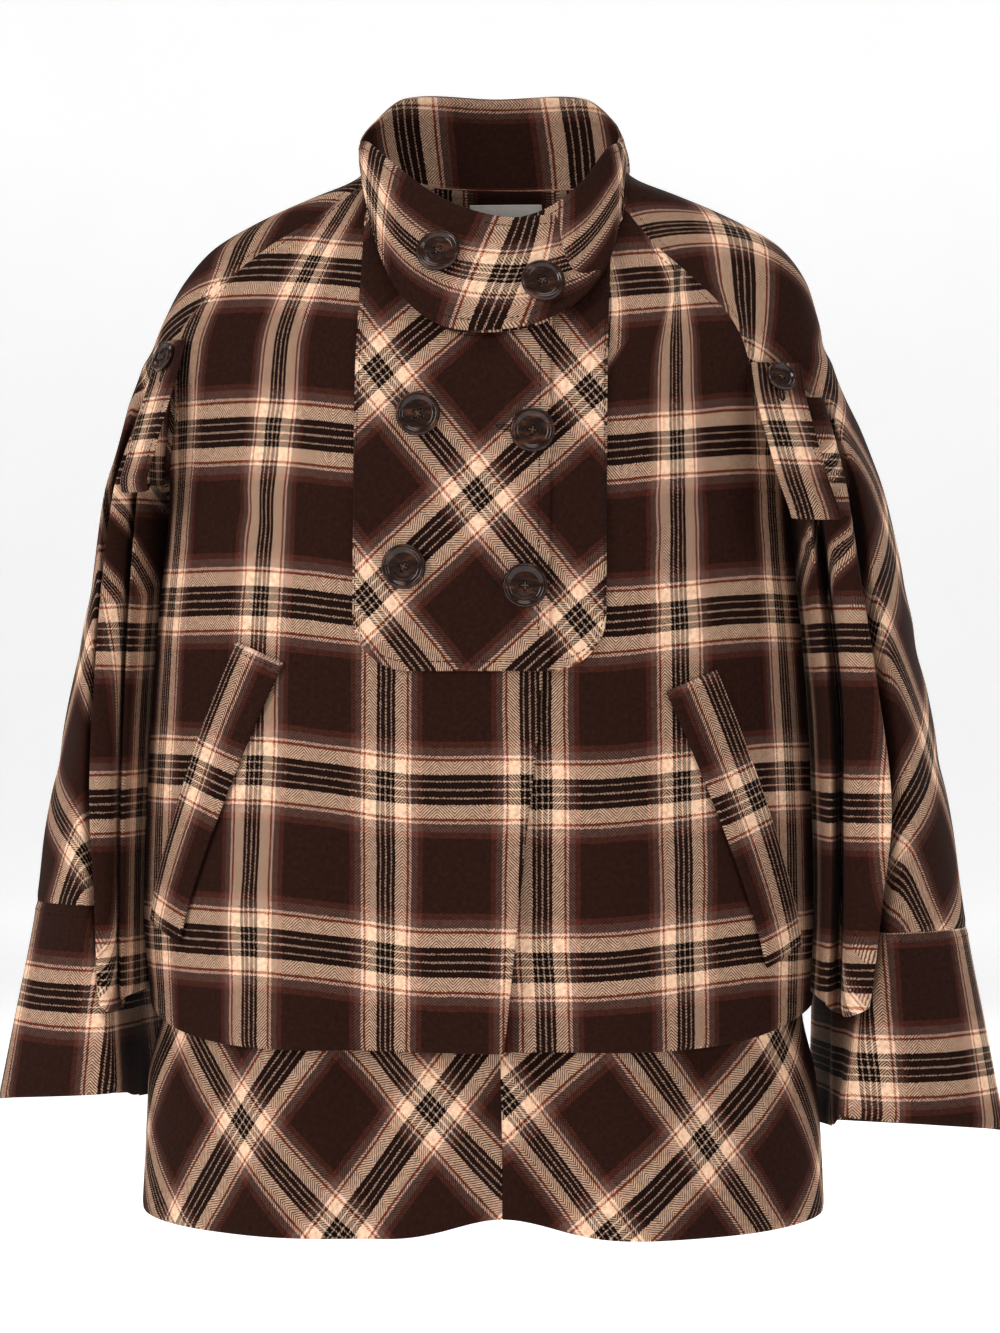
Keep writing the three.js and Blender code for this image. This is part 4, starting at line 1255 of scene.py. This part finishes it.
# %% Tabs
TAB_WIDTH = 34
TAB_BUTTON_DROP = 12
TABS = {
    "right": {
        "facing": -52,
        "check": (4, 60),
        "line": columns(
            "x y z",
            (-204.5, -52.8, -101),
            (-208.6, -59.5, -122),
            (-215.4, -69.4, -150),
            (-221.4, -77.4, -176),
            (-224.4, -83.4, -192),
            (-223.4, -79.4, -199),
            (-221.4, -74.4, -195),
        ),
    },
    "left": {
        "facing": 30,
        "check": (9, 52),
        "line": columns(
            "x y z",
            (185, -65.6, -118),
            (188, -76.4, -138),
            (195, -88.3, -165),
            (203, -95.3, -193),
            (209, -97.3, -210),
            (211, -92.3, -218),
            (209.5, -87.3, -213),
        ),
    },
}


def tab_across(side):
    facing = math.radians(TABS[side]["facing"])
    return np.array([math.cos(facing), math.sin(facing), 0])


def tab(side):
    line = TABS[side]["line"]
    corners = join(line["x"], line["y"], line["z"])
    down = shares(112, 2.6)
    middle = along(corners[:, None, :], down)
    across = (shares(TAB_WIDTH, 2.6) - 0.5) * TAB_WIDTH
    points = middle[:, None, :] + tab_across(side) * across[None, :, None]

    def cloth(across, down, points):
        start = TABS[side]["check"]
        return np.stack([across - start[0], down - start[1]], -1)

    return shell(f"cloth_tab_{side}", points, cloth, wool)


tabs = {side: tab(side) for side in SIDES}
print("tabs:", TAB_WIDTH, "mm wide")

# %% [markdown]
# A small blank label is stitched inside the back of the neck. It is a woven satin tape, so it has a soft
# gloss and fine cross ribs.

# %% Neck label
LABEL = {"x": 1, "half_width": 24, "top": -2, "bottom": -25, "cloth": 1.0}


def label_tape(name):
    n = Nodes(name)
    cloth = n.add("ShaderNodeUVMap", uv_map="cloth").outputs["UV"]
    rib = n.add("ShaderNodeTexWave", {"Vector": cloth, "Scale": 380, "Distortion": 0.4}, bands_direction="Y")
    grey = n.noise(cloth, 160, 2)
    n.link(n.ramp(grey, [(0.3, linear((236, 230, 220))), (0.7, linear((247, 243, 236)))]), "Base Color")
    bump = n.add("ShaderNodeBump", {"Strength": 0.3, "Distance": 0.2 * MM, "Height": rib.outputs["Fac"]})
    n.link(bump.outputs["Normal"], "Normal")
    n.set(Roughness=0.48, Sheen_Weight=0.2)
    return n.material


def neck_label():
    across = shares(2 * LABEL["half_width"], 2.5)[None, :]
    down = shares(LABEL["top"] - LABEL["bottom"], 2.5)[:, None]
    z = mix(LABEL["top"], LABEL["bottom"], down)
    x = mix(LABEL["x"] + LABEL["half_width"], LABEL["x"] - LABEL["half_width"], across)
    points = body_point(math.pi - angle_at(x / read(BODY, "half", z)), z, -CLOTH - 0.6)
    tape = label_tape("label tape")
    plain = lambda across, down, points: np.stack([across, down], -1)
    return shell("cloth_neck_label", points, plain, tape, thickness=LABEL["cloth"])


label_piece = neck_label()
print("label:", 2 * LABEL["half_width"], "by", LABEL["top"] - LABEL["bottom"], "mm")

# %% [markdown]
# The buttons are turned discs with a raised rim, a dished face with a fine ring in it, and four holes.
# Their face is a height for each place on a round grid, which can dip into the holes where a plain
# turned profile cannot. Dark thread crosses between the holes. The resin is dark and glossy with
# streaks of brown, like horn.

# %% Buttons
BUTTON = {"large": 28, "small": 20, "thick": 4.2, "dish": 1.8, "hole": 1.25, "holes_at": 2.7}
COLLAR_BUTTONS = ((343, 0.56), (388, 0.36))
BIB_BUTTONS = ((-37, -153, 1), (-45, -248, 1), (34, -164, 2), (30, -260, 2))
HOLE_TURNS = (45, 135, 225, 315)


def horn(name):
    """Dark polished resin, streaked with brown like horn."""
    n = Nodes(name)
    place = n.add("ShaderNodeUVMap", uv_map="cloth").outputs["UV"]
    stretched = n.add("ShaderNodeMapping", {"Vector": place, "Rotation": (0, 0, 0.6), "Scale": (1, 2.6, 1)})
    streaks = n.noise(stretched.outputs["Vector"], 95, 4, 0.62)
    clouds = n.noise(place, 60, 2)
    dark = n.ramp(streaks, [(0.36, linear((22, 11, 7))), (0.54, linear((50, 27, 18))), (0.74, linear((118, 72, 44)))])
    n.link(n.mix(n.math("MULTIPLY", clouds, 0.45), dark, linear((34, 18, 12))), "Base Color")
    rings = n.add("ShaderNodeTexNoise", {"Vector": place, "Scale": 1400, "Detail": 1})
    bump = n.add("ShaderNodeBump", {"Strength": 0.08, "Distance": 0.1 * MM, "Height": rings.outputs["Fac"]})
    n.link(bump.outputs["Normal"], "Normal")
    n.set(Roughness=0.16, Specular_IOR_Level=0.42)
    return n.material


def thread(name, rgb):
    n = Nodes(name)
    where = n.add("ShaderNodeTexCoord").outputs["Object"]
    twist = n.noise(where, 1800, 2)
    light = linear([min(v + 22, 255) for v in rgb])
    n.link(n.ramp(twist, [(0.3, linear(rgb)), (0.8, light)]), "Base Color")
    bump = n.add("ShaderNodeBump", {"Strength": 0.5, "Distance": 0.1 * MM, "Height": twist})
    n.link(bump.outputs["Normal"], "Normal")
    n.set(Roughness=0.85, Specular_IOR_Level=0.2)
    return n.material


horn_resin = horn("horn resin")
dark_thread = thread("dark thread", (22, 14, 12))
button_thread = thread("button thread", (92, 68, 52))


def button_face(distance, x, y, radius):
    """Height of the button's face above its back, in millimetres."""
    thick, share = BUTTON["thick"], distance / radius
    rim_top = thick * (1 - 0.32 * ease(0.9, 1.0, share) ** 2) - 0.15 * ease(0.9, 0.8, share)
    dish = BUTTON["dish"] * (1 - ease(0.66, 0.84, share)) + 0.18 * hump(share - 0.62, 0.035)
    height = rim_top - dish + 0.22 * (1 - ease(0.3, 0.5, share))
    for turn in HOLE_TURNS:
        a = math.radians(turn)
        at = BUTTON["holes_at"] * radius / 14
        far = np.hypot(x - at * math.cos(a), y - at * math.sin(a))
        height = height - (thick - 0.9 - BUTTON["dish"]) * (1 - ease(0.72, 1.05, far / BUTTON["hole"]))
    return height


def frame_of(direction, up=(0.0, 0.0, 1.0)):
    """Three axes with the last along a direction."""
    z = np.array(direction, float) / np.linalg.norm(direction)
    x = np.cross(up, z)
    x /= np.linalg.norm(x)
    return np.stack([x, np.cross(z, x), z])


def tube(path, radius, sides=6):
    """Points and faces of a round thread along a path, closed at both ends."""
    path = np.array(path, float)
    ahead = np.gradient(path, axis=0)
    ahead /= np.linalg.norm(ahead, axis=1, keepdims=True)
    side = np.cross(ahead, [0.13, 0.31, 0.94])
    side /= np.linalg.norm(side, axis=1, keepdims=True)
    other = np.cross(ahead, side)
    a = np.linspace(0, 2 * math.pi, sides, endpoint=False)
    ring = side[:, None] * np.cos(a)[None, :, None] + other[:, None] * np.sin(a)[None, :, None]
    points = (path[:, None] + ring * radius).reshape(-1, 3)
    index = np.arange(len(points)).reshape(len(path), sides)
    faces = quads(np.concatenate([index, index[:, :1]], 1)).tolist()
    return points, faces + [index[0].tolist(), index[-1, ::-1].tolist()]


def solid_object(name, parts, material):
    """One mesh from several groups of points and faces, in millimetres."""
    points, faces, total = [], [], 0
    for some, shapes in parts:
        points.append(np.asarray(some, float))
        faces += [[i + total for i in face] for face in shapes]
        total += len(some)
    mesh = bpy.data.meshes.new(name)
    mesh.from_pydata((np.concatenate(points) * MM).tolist(), [], faces)
    mesh.polygons.foreach_set("use_smooth", np.ones(len(mesh.polygons), bool))
    mesh.materials.append(material)
    mesh.update()
    obj = bpy.data.objects.new(name, mesh)
    bpy.context.collection.objects.link(obj)
    return obj


def button(name, diameter, seat, direction, spin):
    radius = diameter / 2
    rings = np.unique(np.concatenate([np.linspace(0.02, 0.32, 26), np.linspace(0.34, 0.8, 14), np.linspace(0.82, 1, 10)]))
    turns = np.linspace(0, 2 * math.pi, 96, endpoint=False)
    distance = (rings * radius)[:, None]
    x, y = distance * np.cos(turns), distance * np.sin(turns)
    top = button_face(distance + x * 0, x, y, radius)
    layers = [(x, y, top)]
    for share, height in ((0.995, 1.6), (0.9, 0.15), (0.84, 0.0), (0.02, 0.0)):
        layers.append((x[-1:] * share, y[-1:] * share, np.full((1, len(turns)), height)))
    grid = np.concatenate([np.stack(layer, -1) for layer in layers])
    index = np.arange(grid.shape[0] * len(turns)).reshape(grid.shape[0], -1)
    sides = quads(np.concatenate([index, index[:, :1]], 1))
    faces = sides.tolist() + [index[0].tolist(), index[-1, ::-1].tolist()]
    local = grid.reshape(-1, 3)
    a = math.radians(spin)
    turned = local @ np.array([[math.cos(a), math.sin(a), 0], [-math.sin(a), math.cos(a), 0], [0, 0, 1]])
    axes = frame_of(direction)
    lift = SEAM_GAP + 0.15
    placed = turned @ axes + np.array(seat) + axes[2] * lift
    mesh = bpy.data.meshes.new(name)
    mesh.from_pydata((placed * MM).tolist(), [], faces)
    layer = mesh.uv_layers.new(name="cloth")
    flat = np.array([turned[i, :2] * MM + np.array(seat)[:2] * MM * 3.1 for face in faces for i in face])
    layer.data.foreach_set("uv", flat.astype(np.float32).ravel())
    mesh.polygons.foreach_set("use_smooth", np.ones(len(mesh.polygons), bool))
    mesh.materials.append(horn_resin)
    mesh.update()
    obj = bpy.data.objects.new(name, mesh)
    bpy.context.collection.objects.link(obj)
    at = BUTTON["holes_at"] * radius / 14 * math.sqrt(0.5)
    floor = BUTTON["thick"] - BUTTON["dish"] + 0.1
    parts = []
    for first, second in (((-at, -at), (at, at)), ((-at, at), (at, -at))):
        s = np.linspace(0, 1, 9)[:, None]
        path = np.array(first) * (1 - s) + np.array(second) * s
        height = floor - 1.2 + 1.75 * np.sin(math.pi * s) ** 0.5
        line = np.concatenate([path, height], 1)
        line = line @ np.array([[math.cos(a), math.sin(a), 0], [-math.sin(a), math.cos(a), 0], [0, 0, 1]])
        parts.append(tube(line @ axes + np.array(seat) + axes[2] * lift, 0.36))
    sewn = solid_object(name + "_thread", parts, button_thread)
    return obj, sewn


def facing_of(surface, a, b, step_a, step_b):
    """The outward direction of a surface given by two parameters."""
    along_a = surface(a + step_a, b) - surface(a - step_a, b)
    along_b = surface(a, b + step_b) - surface(a, b - step_b)
    return np.cross(along_a, along_b)


button_pairs = {}
for number, (turn, rise) in enumerate(COLLAR_BUTTONS, 1):
    facing = facing_of(collar_point, turn, rise, 2, 0.05)
    name = f"button_collar_{number}"
    button_pairs[name] = button("horn_" + name, BUTTON["large"], collar_point(turn, rise), facing, 8 * number)
for number, (x, z, layers) in enumerate(BIB_BUTTONS, 1):
    lift = BIB_LIFT + (layers - 1) * (CLOTH + LAYER_GAP)
    surface = lambda a, b, lift=lift: front_point(a, b, lift)
    name = f"button_bib_{number}"
    facing = facing_of(surface, x, z, 4, 4)
    button_pairs[name] = button("horn_" + name, BUTTON["large"], surface(x, z), facing, 11 * number)
for side in SIDES:
    line = TABS[side]["line"]
    points = join(line["x"], line["y"], line["z"])
    down = (points[1] - points[0]) / np.linalg.norm(points[1] - points[0])
    name = f"button_tab_{side}"
    seat = points[0] + down * TAB_BUTTON_DROP
    facing = np.cross(down, tab_across(side))
    button_pairs[name] = button("horn_" + name, BUTTON["small"], seat, facing, 20)
print(len(button_pairs), "buttons")

# %% [markdown]
# Topstitching holds every seam flat. A stitch is a tiny tapered block that stands a little proud of the
# cloth, and a row of them follows a line at a set distance inside a panel's edge. Each row of stitches
# comes from the panel's own grid, so it keeps to the cloth wherever that goes.

# %% Stitches
STITCH = {"length": 2.7, "pitch": 3.9, "half_width": 0.34, "height": 0.42}


def seam_line(name, edge, inset, start=0.0, end=1.0):
    """Points and normals along a line inside an edge of a panel: top, bottom, left or right."""
    piece = PIECES[name]
    sideways = edge in ("left", "right")
    points, normals = piece.outer, piece.normals
    far = piece.across if sideways else piece.down
    if not sideways:
        points, normals, far = points.swapaxes(0, 1), normals.swapaxes(0, 1), far.T
    line, out = [], []
    first, last = int(start * (len(points) - 1)), int(end * (len(points) - 1))
    for row, normal, lengths_here in zip(points[first : last + 1], normals[first : last + 1], far[first : last + 1]):
        place = inset if edge in ("left", "top") else lengths_here[-1] - inset
        line.append([np.interp(place, lengths_here, row[:, k]) for k in range(3)])
        out.append([np.interp(place, lengths_here, normal[:, k]) for k in range(3)])
    return np.array(line), np.array(out)


def stitch_row(line, normals, pitch=STITCH["pitch"], length=STITCH["length"], scale=1.0):
    """Stitches along a line on the cloth."""
    far = lengths(line[None], 1)[0]
    starts = np.arange(pitch * 0.5, far[-1] - length, pitch)
    at = lambda values, place: np.stack([np.interp(place, far, values[:, k]) for k in range(3)], -1)
    a, b = at(line, starts), at(line, starts + length)
    up = at(normals, starts + length / 2)
    up /= np.linalg.norm(up, axis=1, keepdims=True)
    ahead = (b - a) / np.maximum(np.linalg.norm(b - a, axis=1, keepdims=True), 1e-9)
    side = np.cross(up, ahead)
    points = []
    wide, high = STITCH["half_width"] * scale, STITCH["height"] * scale
    for share, width, rise in ((0, 0.35, -0.25), (0.25, 1, 0.9), (0.75, 1, 0.9), (1, 0.35, -0.25)):
        centre = a + ahead * length * share
        points += [centre - side * wide * width, centre + up * high * rise, centre + side * wide * width]
    points = np.stack(points, 1)
    shape = []
    for k in range(3):
        shape += [[3 * k, 3 * k + 3, 3 * k + 4, 3 * k + 1], [3 * k + 1, 3 * k + 4, 3 * k + 5, 3 * k + 2]]
    shape += [[3 * k + 2, 3 * k + 5, 3 * k + 3, 3 * k] for k in range(3)]
    shape += [[0, 1, 2], [11, 10, 9]]
    faces = [[i * 12 + j for j in face] for i in range(len(points)) for face in shape]
    return points.reshape(-1, 3), faces


STITCH_ROWS = {
    "cloth_collar": (("top", 6), ("bottom", 6), ("right", 6), ("left", 6)),
    "cloth_bib_over": (("left", 5), ("bottom", 5), ("right", 6)),
    "cloth_bib_under": (("right", 5), ("bottom", 5)),
    "cloth_welt_right": (("top", 4), ("bottom", 4)),
    "cloth_welt_left": (("top", 4), ("bottom", 4)),
    "cloth_tab_right": (("left", 4), ("right", 4), ("top", 4)),
    "cloth_tab_left": (("left", 4), ("right", 4), ("top", 4)),
    "cloth_cuff_right": (("top", 5),),
    "cloth_cuff_left": (("top", 5),),
}
seams = {}
for name, rows in STITCH_ROWS.items():
    parts = [stitch_row(*seam_line(name, edge, inset)) for edge, inset in rows]
    seams[name] = solid_object(name.replace("cloth", "stitches"), parts, dark_thread)
for side in SIDES:
    edge = "left" if side == "right" else "right"
    sides = {"left": ("right", "left"), "right": ("left", "right")}
    parts = [
        stitch_row(*seam_line(f"cloth_front_{side}", edge, 5, 0.0, 0.38)),
        stitch_row(*seam_line(f"cloth_sleeve_{side}", "left", 5, 0.0, 0.4)),
        stitch_row(*seam_line(f"cloth_sleeve_{side}", "right", 5, 0.0, 0.4)),
    ]
    seams[f"raglan_{side}"] = solid_object(f"stitches_raglan_{side}", parts, dark_thread)
print(sum(len(obj.data.polygons) for obj in seams.values()), "faces of stitching")

# %% [markdown]
# A buttonhole is a slit bound with close thread. The one that shows best is the keyhole under each tab
# button. On the laps a short worked slit shows beside the button.

# %% Buttonholes


def buttonhole(name, start, end, normal, gap=0.7):
    """A bound slit from one point to another: a dark gap between two rows of close stitches."""
    start, end, normal = (np.array(v, float) for v in (start, end, normal))
    normal /= np.linalg.norm(normal)
    ahead = (end - start) / np.linalg.norm(end - start)
    side = np.cross(normal, ahead)
    parts = []
    turns = np.linspace(0, 2 * math.pi, 34)
    middle, half = (start + end) / 2, np.linalg.norm(end - start) / 2
    for k in range(len(turns) - 1):
        for scale, rise in ((1.0, 0.25),):
            c, s = math.cos(turns[k]), math.sin(turns[k])
            edge = middle + ahead * half * c + side * gap * 1.5 * s
            away = ahead * 0.5 * c + side * 1.25 * s
            line = np.array([edge - away * 0.4, edge + away * 0.3 + normal * rise, edge + away])
            parts.append(tube(line + normal * 0.15, 0.28, 5))
    return solid_object(name, parts, dark_thread)


holes = []
for side in SIDES:
    line = TABS[side]["line"]
    corners = join(line["x"], line["y"], line["z"])
    down = (corners[1] - corners[0]) / np.linalg.norm(corners[1] - corners[0])
    seat = corners[0] + down * TAB_BUTTON_DROP
    normal = np.cross(down, tab_across(side))
    holes.append(buttonhole(f"buttonhole_tab_{side}", seat + down * 8, seat + down * 16, normal))
for number, (x, z, layers) in enumerate(BIB_BUTTONS[2:], 3):
    lift = BIB_LIFT + (layers - 1) * (CLOTH + LAYER_GAP)
    surface = lambda a, b, lift=lift: front_point(a, b, lift)
    normal = facing_of(surface, x, z, 4, 4)
    holes.append(buttonhole(f"buttonhole_bib_{number}", surface(x - 22.0, z + 3), surface(x - 11.0, z + 1), normal))
print(len(holes), "buttonholes")

# %% [markdown]
# Every dressed piece now takes the place of its CAD node and moves with the part. The lengths along the
# panel's own grid are that cut, because soft wool is hardly stretched here.


def cut_of(piece):
    """Flat width, length and area of a panel, in metres."""
    width, length = float(piece.across[:, -1].max()), float(piece.down[-1].max())
    a = piece.outer[1:, :-1] - piece.outer[:-1, :-1]
    b = piece.outer[:-1, 1:] - piece.outer[:-1, :-1]
    c = piece.outer[1:, :-1] - piece.outer[1:, 1:]
    d = piece.outer[:-1, 1:] - piece.outer[1:, 1:]
    area = (np.linalg.norm(np.cross(a, b), axis=-1) + np.linalg.norm(np.cross(c, d), axis=-1)).sum() / 2
    flat = (width * MM, length * MM)
    return flat, float(np.clip(area * MM * MM, 0.3 * flat[0] * flat[1], flat[0] * flat[1]))


cuts = {}
for name, piece in PIECES.items():
    node = name.replace("cloth_", "")
    flat, area = cut_of(piece)
    cuts[node] = (*[round(v, 3) for v in flat], round(area, 4))
    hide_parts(node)
    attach(piece.obj, "root")
for node, (resin, sewn) in button_pairs.items():
    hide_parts(node)
    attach(resin, "root")
    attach(sewn, "root")
for obj in [*seams.values(), *holes]:
    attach(obj, "root")
print("cut of each piece, width and length in metres and area:", json.dumps(cuts))

# %% [markdown]
# A coat on white needs clear but soft light: a dim pale room, a strong window on one side, a weaker one
# on the other, a panel above and one behind, so that the back is lit too. The floor glows a little, as a
# lit white sheet does, and sweeps up far behind as a smooth curve, so no horizon shows.

# %% Studio
FLOOR = -0.86
FLOOR_DEPTH = 7.0
SWEEP = 2.0
WALL_TOP = 7.0
FLOOR_WIDTH = 8.0


def pale_floor():
    n = Nodes("pale backdrop")
    n.shader.inputs["Emission Color"].default_value = (1, 1, 1, 1)
    n.link(n.ramp(n.noise(n.add("ShaderNodeTexCoord").outputs["Object"], 3, 2), [(0.3, (0.93, 0.93, 0.93, 1)), (0.7, (0.96, 0.96, 0.96, 1))]), "Base Color")
    n.set(Roughness=0.9, Emission_Strength=0.5)
    profile = [(-FLOOR_DEPTH, FLOOR), (FLOOR_DEPTH, FLOOR)]
    for k in range(1, 25):
        a = math.pi / 2 * k / 24
        profile.append((FLOOR_DEPTH + SWEEP * math.sin(a), FLOOR + SWEEP * (1 - math.cos(a))))
    profile.append((FLOOR_DEPTH + SWEEP, WALL_TOP))
    points = [(x, y, z) for y, z in profile for x in (-FLOOR_WIDTH, FLOOR_WIDTH)]
    faces = [(2 * k, 2 * k + 1, 2 * k + 3, 2 * k + 2) for k in range(len(profile) - 1)]
    mesh = bpy.data.meshes.new("backdrop")
    mesh.from_pydata(points, [], faces)
    mesh.polygons.foreach_set("use_smooth", np.ones(len(faces), bool))
    mesh.materials.append(n.material)
    obj = bpy.data.objects.new("backdrop", mesh)
    bpy.context.collection.objects.link(obj)
    return obj


def soft_light(name, place, aim, size, power):
    data = bpy.data.lights.new(name, "AREA")
    data.shape, data.size, data.size_y, data.energy = "RECTANGLE", size[0], size[1], power
    obj = bpy.data.objects.new(name, data)
    obj.location = place
    obj.rotation_euler = (Vector(aim) - Vector(place)).to_track_quat("-Z", "Y").to_euler()
    bpy.context.collection.objects.link(obj)
    return obj


world = bpy.data.worlds.new("pale room")
bpy.context.scene.world = world
world.use_nodes = True
world.node_tree.nodes["Background"].inputs["Color"].default_value = (1, 1, 1, 1)
world.node_tree.nodes["Background"].inputs["Strength"].default_value = 0.2
lights = [
    soft_light("left window", (-2.4, -2.2, 1.2), (0, 0, -0.3), (1.2, 1.8), 56),
    soft_light("right window", (2.6, -2.0, 0.8), (0, 0, -0.3), (1.0, 1.6), 18),
    soft_light("top panel", (0.2, -0.4, 2.4), (0, 0, -0.3), (1.6, 1.2), 24),
    soft_light("back window", (0.6, 3.2, 1.6), (0, 0, -0.3), (2.0, 1.6), 45),
]
pale_floor()
print(len(lights), "soft lights")

# %% [markdown]
# The camera stands level with the coat's middle, three metres off and five degrees to its left, with a
# long lens as a catalogue photo has. Its lens comes from the scale: 0.65 mm of coat to a pixel.

# %% Camera
PIXEL = 0.00065
FRAME_HEIGHT = 1333
DISTANCE = 3.0
AIM = Vector((0.00325, 0.0, -0.310))
TURN = math.radians(5)

data = bpy.data.cameras.new("camera")
data.sensor_fit = "VERTICAL"
data.sensor_height = 36
data.lens = data.sensor_height * DISTANCE / (FRAME_HEIGHT * PIXEL)
camera = bpy.data.objects.new("camera", data)
camera.location = AIM + Vector((math.sin(TURN), -math.cos(TURN), 0)) * DISTANCE
camera.rotation_euler = (AIM - camera.location).to_track_quat("-Z", "Y").to_euler()
bpy.context.collection.objects.link(camera)
bpy.context.scene.camera = camera
bpy.context.scene.view_settings.view_transform = "Standard"
print("lens:", round(data.lens, 1), "mm")

# %% The end
bpy.context.view_layer.update()
